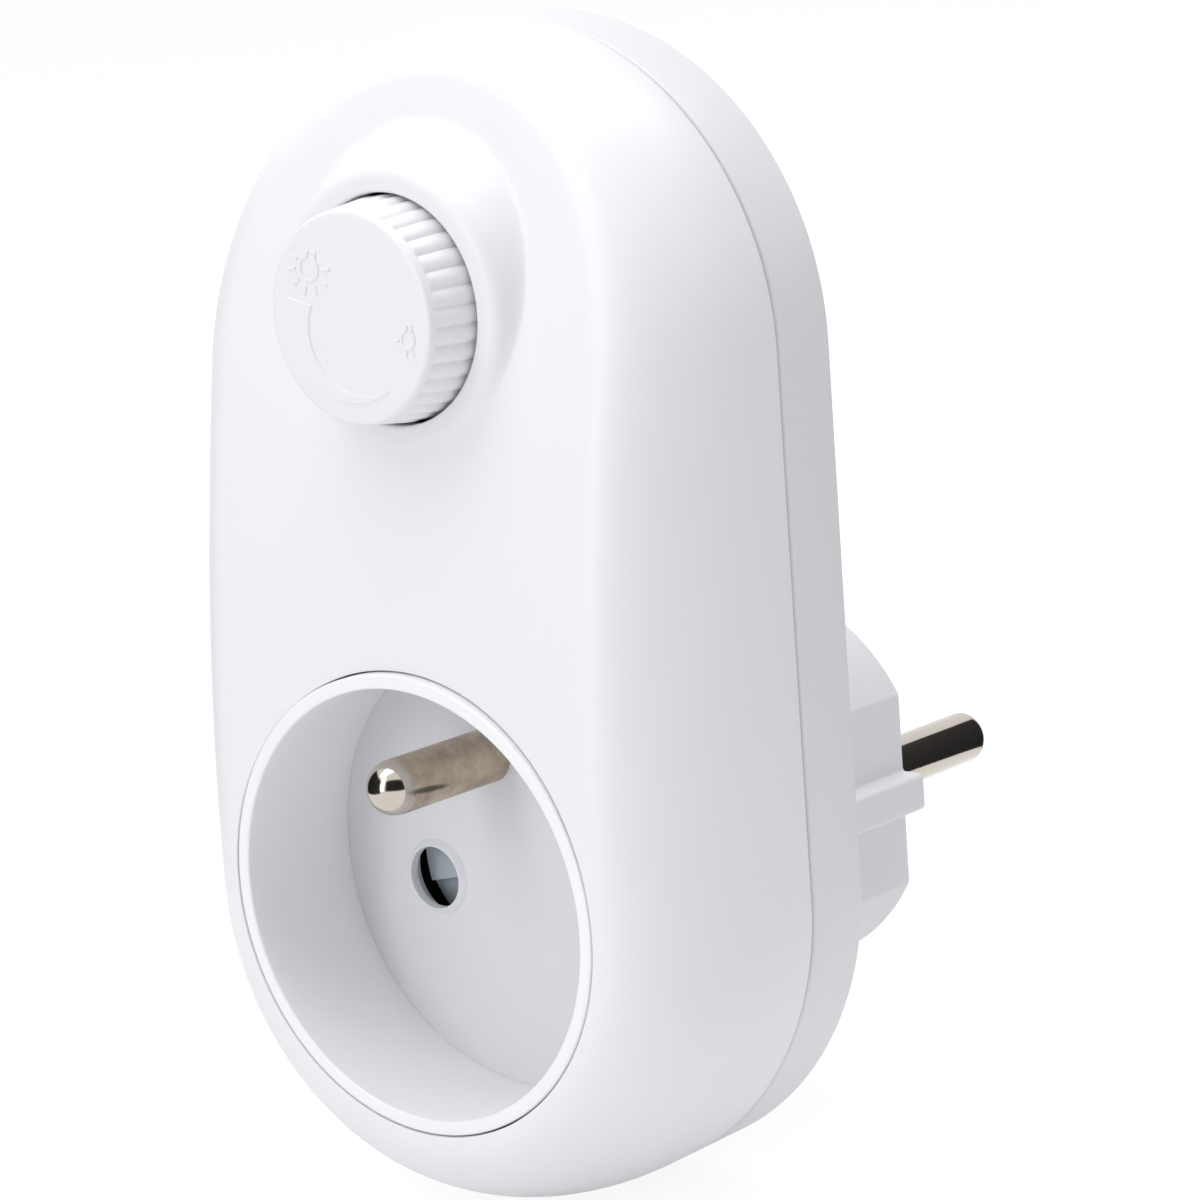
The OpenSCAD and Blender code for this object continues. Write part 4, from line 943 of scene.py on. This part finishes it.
class DIMMER_OT_knob(Operator):
    """White knob with rounded grip ribs, and the raised marks on its face"""
    bl_idname = "dimmer.knob"
    bl_label = "Knob"

    def execute(self, context):
        d = context.scene.dimmer
        k = d.knob
        white = moulded_plastic("moulded_ABS_white_knob", d.finish.knob, rough=0.4)
        place(self.body(d.housing, k, white), "knob_body", "dial", None, ["knob"])
        place(self.wedge(k), "knob_wedge_mark", "dial", white, ())
        place(self.lamps(k, white), "knob_lamp_marks", "dial", None, ())
        return {"FINISHED"}

    @staticmethod
    def body(h, k, white):
        """The knob, from one rib's share of it that runs from the middle of its face round to the hub."""
        edge, lip, run = 0.4 * MM, 0.55 * MM, 0.4 * MM
        wall, hub, bore, ledge = 1.4 * MM, 4.6 * MM, 3.05 * MM, 0.8 * MM
        skirt, hub_back, bore_end = k.face + 7.1 * MM, KNOB_HIGH.y, k.face + 3 * MM
        slope = (k.base_radius - k.face_radius) / (h.rim + h.boss - k.face)
        stations = [(k.face_radius * f, k.face, 0.0) for f in (0.0, 0.25, 0.5, 0.7, 0.85)]
        stations += [(k.face_radius - edge * (1 - q), k.face + edge * v, 0.0) for q, v in quarter(5)]
        for i in range(7):
            y = k.face + lip + run * i / 6
            depth = 0.5 - 0.5 * math.cos(math.pi * i / 6)
            stations.append((k.face_radius + slope * (y - k.face), y, depth))
        for i in range(1, 7):
            y = k.face + lip + run + (skirt - k.face - lip - run) * i / 6
            stations.append((min(k.face_radius + slope * (y - k.face), k.base_radius), y, 1.0))
        stations += [(r, y, 0.0) for r, y in (
            (k.base_radius - ledge, skirt), (k.base_radius - wall, skirt),
            (k.face_radius - wall, k.face + wall), (hub, k.face + wall), (hub, hub_back),
            (bore, hub_back), (bore, bore_end), (0.0, bore_end))]
        across, roundness = 12, 2.2
        share = 2 * math.pi / k.ribs
        points, faces = [], []
        for r, y, depth in stations:
            for n in range(across + 1):
                t = n / across - 0.5
                radius = r - depth * k.rib_depth * (2 * abs(t)) ** roundness
                points.append((radius * math.sin(t * share), y, k.height + radius * math.cos(t * share)))
        for i in range(len(stations) - 1):
            for n in range(across):
                a = i * (across + 1) + n
                faces.append((a, a + 1, a + across + 2, a + across + 1))
        part = bpy.data.meshes.new("knob_share")
        part.from_pydata(points, [], faces)
        body = grown(part, copies_round_axis(), {
            "Count": k.ribs, "Sweep": 2 * math.pi, "Start": 0.0, "Centre": (0.0, 0.0, k.height),
            "Material": white}, 40)
        cleaned(body, 0.004 * MM)
        body.name = "knob_body"
        return body

    @staticmethod
    def wedge(k):
        """Raised wedge that narrows from the bright end to the weak one, with a soft edge."""
        first, sweep, steps = math.radians(166), math.radians(138), 60
        outside, wide, point = 7.1 * MM, 4.1 * MM, 0.12 * MM
        sunk, soft, blunt_first, blunt_last = 0.05 * MM, 0.1 * MM, 0.012, 0.992
        there = [i / steps for i in range(steps + 1)]
        low_row, top_row = [], []
        for inner, stops in ((False, there), (True, there[::-1])):
            for t in stops:
                r_in = wide + (outside - point - wide) * t
                inset = min(soft, (outside - r_in) / 2.2)
                low_r, top_r = (r_in, r_in + inset) if inner else (outside, outside - inset)
                low_a = first + sweep * t
                top_a = first + sweep * min(max(t, blunt_first), blunt_last)
                low_row.append((low_r * math.cos(low_a), k.face + sunk, k.height + low_r * math.sin(low_a)))
                top_row.append((top_r * math.cos(top_a), k.face - k.mark_height,
                                k.height + top_r * math.sin(top_a)))
        shell = Shell()
        lower, upper = shell.loop(low_row), shell.loop(top_row)
        shell.bridge(lower, upper)
        shell.fill([upper])
        shell.fill([lower])
        return shell.mesh("knob_wedge_mark", 30)

    @staticmethod
    def lamps(k, white):
        """Raised outlines: a shining lamp at the wide end and a small, weak lamp at the narrow end."""
        y, line, opening, beam_turn = k.face - 0.02 * MM, 0.13 * MM, 0.45, 0.62

        def spot(cx, cz, r, a):
            return (cx + r * math.cos(a), y, k.height + cz + r * math.sin(a))

        paths = []
        bright = (-4.05 * MM, 4.0 * MM, 1.0 * MM, 1.25, 1.55, 0.28, (-3, -2, -1, 0, 1, 2, 3), 1.5, 2.3)
        weak = (6.35 * MM, -1.6 * MM, 0.7 * MM, 1.35, 1.8, 0.2, (-2, 0, 1), 1.45, 2.1)
        for cx, cz, size, neck, tip, gape, beams, near, far in (bright, weak):
            turns = [neck + opening + (2 * math.pi - 2 * opening) * i / 28 for i in range(29)]
            bulb = [spot(cx, cz, size, a) for a in turns]
            tip_a, tip_b = spot(cx, cz, size * tip, neck + gape), spot(cx, cz, size * tip, neck - gape)
            paths.append(([tip_b] + bulb[::-1] + [tip_a], True))
            for n in beams:
                a = neck + math.pi + n * beam_turn
                paths.append(([spot(cx, cz, size * near, a), spot(cx, cz, size * far, a)], False))
        return tubes("knob_lamp_marks", paths, line, 10, white)


class DIMMER_OT_pins(Operator):
    """Nickel-plated pins: the earth pin in the socket and the two pins of the plug"""
    bl_idname = "dimmer.pins"
    bl_label = "Pins"

    def execute(self, context):
        d = context.scene.dimmer
        s, p = d.socket, d.plug
        tip = EARTH_LOW.y
        x, z = -p.earth * math.sin(s.turn), p.earth * math.cos(s.turn)
        neck, rivet, seat = 2 * MM, 1.3 * MM, -31.9 * MM
        profile = [(p.pin * q, tip + p.pin * v) for q, v in quarter(20)]
        profile += [(p.pin, s.floor), (neck, s.floor), (neck, seat), (rivet, seat), (rivet, EARTH_HIGH.y),
                    (0.0, EARTH_HIGH.y)]
        smear_middle, smear_slant = (x + 2.36 * MM, tip + 4.2 * MM, z - 0.35 * MM), math.radians(-6)
        smear_reach = (0.9 * MM, 3 * MM, 0.34 * MM)
        shank = plated_pin("nickel_plate_handled_earth_pin", d.finish.nickel, d.finish.tarnish,
                           rubbed_from=tip + 3.2 * MM, rubbed_to=tip + 1.6 * MM,
                           smear=(smear_middle, smear_slant, smear_reach))
        place(lathe(profile, x, z, 72).mesh("earth_pin", 40), "earth_pin", "case", shank,
              ["socket_earth_pin"])
        polished = plated_pin("nickel_plate_bright_plug_pins", d.finish.nickel, d.finish.nickel,
                              rubbed_from=-0.1, rubbed_to=-0.09, dull=0.16, bright=0.1)
        end, dome, rivet = PIN_HIGH.y, 1.2 * MM, 1.4 * MM
        collar, collar_front, collar_back = 3 * MM, -7.2 * MM, -6.2 * MM
        profile = [(0.0, end)] + [(p.pin - dome * (1 - q), end - dome * v) for q, v in quarter(10)]
        profile += [(p.pin, 0.0), (neck, 0.0), (neck, collar_back), (collar, collar_back),
                    (collar, collar_front), (rivet, collar_front), (rivet, PIN_LOW.y), (0.0, PIN_LOW.y)]
        for name, side in (("line", -1), ("neutral", 1)):
            mesh = lathe(profile, side * p.pitch / 2, 0.0, 72).mesh(f"plug_pin_{name}_plated", 40)
            place(mesh, f"plug_pin_{name}_plated", "case", polished, [f"plug_pin_{name}"])
        return {"FINISHED"}


class DIMMER_OT_screws(Operator):
    """Pan-head screws with cross slots: four in the housing, two in the board and two in the carrier"""
    bl_idname = "dimmer.screws"
    bl_label = "Screws"

    def execute(self, context):
        d = context.scene.dimmer
        h, s, p = d.housing, d.socket, d.plug
        zinc = rolled_metal("zinc_plated_steel_screws", "#9FA3A9", 0.28, 0.2 * MM, 1.0)
        tree = copies_on_points()
        c, sn, reach = math.cos(s.turn), math.sin(s.turn), 15.9 * MM
        carrier = [(-side * reach * sn, side * reach * c) for side in (1, -1)]
        sunk, plate = p.back - 1.8 * MM, -28.8 * MM
        for name, places, head_y, sizes in (
                ("housing_screws", screw_places(h), sunk, (2.7, 1.7, 1.08, 12.5)),
                ("board_screws", board_places(), plate, (1.9, 1.2, 0.88, 7.5)),
                ("carrier_screws", carrier, plate, (1.6, 1.0, 0.78, 6.0))):
            seed = bpy.data.objects.new(name + "_seed", self.screw(*[size * MM for size in sizes]))
            dots = bpy.data.meshes.new(name)
            dots.from_pydata([(x, head_y, z) for x, z in places], [], [])
            mesh = grown(dots, tree, {"Piece": seed, "Material": zinc}, 30)
            bpy.data.objects.remove(seed)
            place(mesh, name + "_turned", "case", None, [name])
        return {"FINISHED"}

    @staticmethod
    def screw(head_r, head_t, shank_r, shank_len):
        """A pan head with a cross slot, facing +Y from its seat at the origin, on a threaded shank."""
        shell = Shell()
        edge, root, point, ridges = head_t * 0.5, 0.82, 0.3, 24
        profile = [(shank_r * point, -shank_len)]
        profile += [(shank_r * (root if i % 2 else 1.0), -shank_len * i / ridges)
                    for i in reversed(range(ridges - 1))]
        profile += [(head_r, 0.0)] + [(head_r - edge * v, edge + edge * q) for q, v in quarter(4)]
        rows = shell.turned(profile, 0, 0, 40)
        shell.fan(rows[0], (0, -shank_len, 0))
        arm, half, deep, taper = head_r * 0.62, head_r * 0.13, head_t * 0.45, 0.9
        arms = [(half, -half), (arm, -half), (arm, half)]
        cross = [(x * c - z * s, x * s + z * c) for c, s in ((1, 0), (0, 1), (-1, 0), (0, -1))
                 for x, z in arms]
        top = shell.loop([(x, head_t, z) for x, z in cross])
        low = shell.loop([(x * taper, head_t - deep, z * taper) for x, z in cross])
        shell.fill([rows[-1], top])
        shell.bridge(top, low)
        shell.fill([low])
        return shell.mesh("pan_screw", 30)


def eased(points, steps=8):
    """A path from the first point to the last that rounds every corner between them."""
    path = [points[0]]
    for i in range(1, len(points) - 1):
        a, b, c = (points[i - 1] + points[i]) / 2, points[i], (points[i] + points[i + 1]) / 2
        for t in [n / steps for n in range(steps)]:
            path.append(a * (1 - t) ** 2 + b * 2 * t * (1 - t) + c * t * t)
    return path + [points[-1]]


class DIMMER_OT_inside(Operator):
    """Finishes of the parts inside, with round wire for the choke and the two leads"""
    bl_idname = "dimmer.inside"
    bl_label = "Inside parts"

    def execute(self, context):
        d = context.scene.dimmer
        grey = moulded_plastic("moulded_nylon_grey_shutter", d.finish.shutter, rough=0.5)
        pale = moulded_plastic("moulded_nylon_pale", linear("#D3D6DA"), rough=0.5)
        # The carrier is coloured black as painted shade: it is seen only through the contact holes, as
        # their dark inside
        black = moulded_plastic("moulded_phenolic_black", linear("#1B1B1D"), rough=0.5)
        brass = rolled_metal("stamped_brass_strip", "#C6A45A", 0.3)
        steel = rolled_metal("plated_steel_strip", "#C4C2BC", 0.3)
        spring = rolled_metal("drawn_spring_wire", "#B4B7BC", 0.25, 0.1 * MM)
        tin = rolled_metal("tinned_copper", "#C3C5C8", 0.35, 0.2 * MM, 1.0)
        can = rolled_metal("tinned_sheet_can", "#B4B8BC", 0.28, 0.2 * MM, 1.0)
        bare = rolled_metal("bare_aluminium_sheet", "#C4C7CB", 0.36, 0.3 * MM)
        finishes = {
            # The carrier's black below is painted shade seen through the contact holes
            "contact_carrier": black, "pot_shaft": pale, "shutter_spring": spring,
            "contact_line": brass, "contact_neutral": brass, "earth_receptacle": brass,
            "neutral_bar": brass, "earth_strap": steel, "pot_cover": can, "pot_terminals": tin,
            "fuse_caps": tin, "fuse_clips": tin, "heat_sink": bare, "triac_screw": steel,
            "circuit_board": coated_body("paper_laminate_board", "#8C5E33", 0.55, 0.8 * MM),
            "pot_body": coated_body("paper_laminate_wafer", "#4E3E2E", 0.55, 0.8 * MM),
            "triac": coated_body("moulded_epoxy_black", "#2B2B2F", 0.5, 0.3 * MM),
            "choke_core": coated_body("iron_powder_core", "#48555C", 0.6, 0.4 * MM, 0.35),
            "film_capacitor": coated_body("moulded_box_yellow", "#DDBF4E", 0.42, 0.5 * MM, 0.08),
            "timing_capacitors": coated_body("dipped_epoxy_red", "#A5452F", 0.25, 1.2 * MM, 0.15),
            "resistors": coated_body("lacquered_ceramic_tan", "#C6B187", 0.3, 0.8 * MM, 0.12),
            "diac": coated_body("enamelled_glass_blue", "#4872A8", 0.15, 0.8 * MM, 0.1),
            "fuse_tube": drawn_glass("drawn_glass_tube", "#E8F0F2"),
        }
        for node, finish in finishes.items():
            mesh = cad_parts[node].data
            mesh.materials.clear()
            mesh.materials.append(finish)

        # The shutter's wings reach a little further out than in its solid, as seen through the holes
        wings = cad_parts["shutter"].data.copy()
        wings.materials.clear()
        cleaned(wings, 0.004 * MM)
        wing_start, further = 10 * MM, 1.2 * MM
        for point in wings.vertices:
            out = math.hypot(point.co.x, point.co.z)
            if out > wing_start:
                point.co.x *= 1 + further / out
                point.co.z *= 1 + further / out
        place(wings, "shutter_wings", "shutter", grey, ["shutter"])

        # Turns of round enamelled wire, each a closed loop round the core's section
        copper = coated_body("enamelled_copper_wire", "#B4662F", 0.25, 0.6 * MM, 0.12)
        low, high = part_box("choke_core")
        middle, r_in, r_out = (low + high) / 2, 3.5 * MM, (high.x - low.x) / 2
        wire, bend = 0.34 * MM, 0.5 * MM
        off = wire + 0.05 * MM
        left, right, front, back = r_in - off, r_out + off, low.y - off, high.y + off
        loop = rounded([(left, front, bend), (right, front, bend), (right, back, bend), (left, back, bend)])
        section = [(middle.x + x, y, middle.z) for x, y in loop]
        turn = tubes("choke_turn", [(section, True)], wire, 10, copper)
        winding = grown(turn, copies_round_axis(), {
            "Count": 18, "Sweep": math.radians(300), "Start": math.radians(30),
            "Centre": (middle.x, 0.0, middle.z), "Material": copper}, 60)
        place(winding, "choke_wire", "case", None, ["choke_winding"])

        # Insulated leads along the routes of their solids, in millimetres
        line = [(-9.5, -9.2, 0), (-9.7, -9.8, 4.4), (-10.5, -13, 7), (-10.5, -20, 8), (-10.2, -26.6, 8.2),
                (-9.6, -27.3, 13), (-9, -27.3, 20), (-8, -27.5, 24), (-8, -27.5, 28)]
        load = [(-7.6, -12.6, -1.6), (-6.6, -13.6, 1.5), (-6.5, -17, 5), (-6.6, -24, 6.5), (-6.8, -27.2, 8),
                (-7, -27.3, 13), (-6.6, -27.3, 19), (-4, -27.3, 22), (-3, -27.5, 24.5), (-3, -27.5, 28)]
        for name, stops, shade, slot in (("line_lead", line, "#7A4B2C", "lead_brown"),
                                         ("load_lead", load, "#41464D", "lead_grey")):
            pvc = coated_body(f"extruded_PVC_{name}", shade, 0.38, 1.5 * MM, 0.1)
            route = eased([Vector(stop) * MM for stop in stops])
            tube = tubes(name, [(route, False)], 0.9 * MM, 16, pvc)
            place(tube, name + "_insulated", "case", None, [name])
        return {"FINISHED"}


def toward(turn, rise):
    """Direction at a turn to the right of straight ahead of the front, and at a rise, both in degrees."""
    turn, rise = math.radians(turn), math.radians(rise)
    return Vector((math.sin(turn) * math.cos(rise), -math.cos(turn) * math.cos(rise), math.sin(rise)))


def flat_board(name, corners, finish):
    """A board of the stage with four corners."""
    mesh = bpy.data.meshes.new(name)
    mesh.from_pydata(corners, [], [(0, 1, 2, 3)])
    mesh.materials.append(finish)
    board = bpy.data.objects.new(name, mesh)
    bpy.context.scene.collection.objects.link(board)
    return board


class DIMMER_OT_stage(Operator):
    """Pale floor, even light with a long panel overhead and a narrow lamp in front, and the camera"""
    bl_idname = "dimmer.stage"
    bl_label = "Stage"

    def execute(self, context):
        scene = context.scene
        st = scene.dimmer.stage
        low, high = SOLIDS_BOX
        reach = 3.0
        floor = flat_board("floor", [(-reach, -reach, low.z), (reach, -reach, low.z),
                                     (reach, reach, low.z), (-reach, reach, low.z)], painted_floor())

        # Dark cards that only the bright metal sees: behind the plug, to the left and to the right
        black = flock_card()
        tip = Vector((0.0, EARTH_LOW.y, (EARTH_LOW.z + EARTH_HIGH.z) / 2))
        behind = [(0.01, 0.067, -0.0285), (0.3, 0.067, -0.0285), (0.3, 0.11, 0.087), (0.01, 0.11, 0.087)]
        left = [tip + toward(t, e) * 0.16 for t, e in ((-108, -12), (-16, -12), (-16, 30), (-108, 30))]
        right = [tip + toward(t, e) * 0.45 for t, e in ((7, -2), (88, -2), (88, 36), (7, 36))]
        for name, corners in (("card_behind_plug", behind), ("card_left", left), ("card_right", right)):
            card = flat_board(name, corners, black)
            card.visible_camera = card.visible_diffuse = card.visible_shadow = False

        scene.world = even_surround(st.fill)
        aim = (low + high) / 2
        for name, turn, rise, width, tall, power in (("overhead_panel", -27, 88, 0.5, 2.0, st.key),
                                                     ("front_strip", -8, 22, 0.25, 0.9, st.front)):
            light = bpy.data.lights.new(name, "AREA")
            light.shape, light.size, light.size_y, light.energy = "RECTANGLE", width, tall, power
            lamp = bpy.data.objects.new(name, light)
            lamp.location = aim + toward(turn, rise)
            lamp.rotation_mode = "QUATERNION"
            lamp.rotation_quaternion = (aim - lamp.location).to_track_quat("-Z", "Y")
            scene.collection.objects.link(lamp)

        camera = bpy.data.cameras.new("camera")
        camera.sensor_width, camera.lens = 36.0, st.lens
        camera.shift_x, camera.shift_y = -0.0003, -0.0086
        camera.clip_start, camera.clip_end = 0.01, 20.0
        eye = bpy.data.objects.new("camera", camera)
        stand = Vector((0.21747, -0.27817, 0.08763))
        right = Vector((0.76893, 0.63540, -0.07078)).normalized()
        ahead = Vector((-0.63556, 0.74770, -0.19240)).normalized()
        up = right.cross(ahead).normalized()
        right = ahead.cross(up)
        turn = Matrix((right, up, -ahead)).transposed().to_4x4()
        eye.matrix_world = Matrix.Translation(stand) @ turn
        scene.collection.objects.link(eye)
        scene.camera = eye
        scene.view_settings.view_transform = "Standard"
        return {"FINISHED"}


class DIMMER_PT_panel(Panel):
    """Sizes, colours and the pieces that are built from them"""
    bl_idname = "DIMMER_PT_panel"
    bl_label = "Plug-in dimmer"
    bl_space_type = "VIEW_3D"
    bl_region_type = "UI"
    bl_category = "Dimmer"

    def draw(self, context):
        settings = context.scene.dimmer
        for group in (settings.housing, settings.socket, settings.knob, settings.plug, settings.finish,
                      settings.stage):
            box = self.layout.box()
            for key in group.__annotations__:
                box.prop(group, key)
        for step in STEPS:
            self.layout.operator(step.bl_idname)


GROUPS = (HousingSizes, SocketSizes, KnobSizes, PlugSizes, Finishes, StageSizes, DimmerSettings)
STEPS = (DIMMER_OT_stage, DIMMER_OT_front_housing, DIMMER_OT_rear_cover, DIMMER_OT_socket_insert,
         DIMMER_OT_knob, DIMMER_OT_pins, DIMMER_OT_screws, DIMMER_OT_inside)


def register():
    for item in GROUPS + STEPS + (DIMMER_PT_panel,):
        bpy.utils.register_class(item)
    bpy.types.Scene.dimmer = PointerProperty(type=DimmerSettings)


def unregister():
    del bpy.types.Scene.dimmer
    for item in reversed(GROUPS + STEPS + (DIMMER_PT_panel,)):
        bpy.utils.unregister_class(item)


def main():
    register()
    for step in STEPS:
        family, name = step.bl_idname.split(".")
        getattr(getattr(bpy.ops, family), name)()


if __name__ == "__main__":
    main()
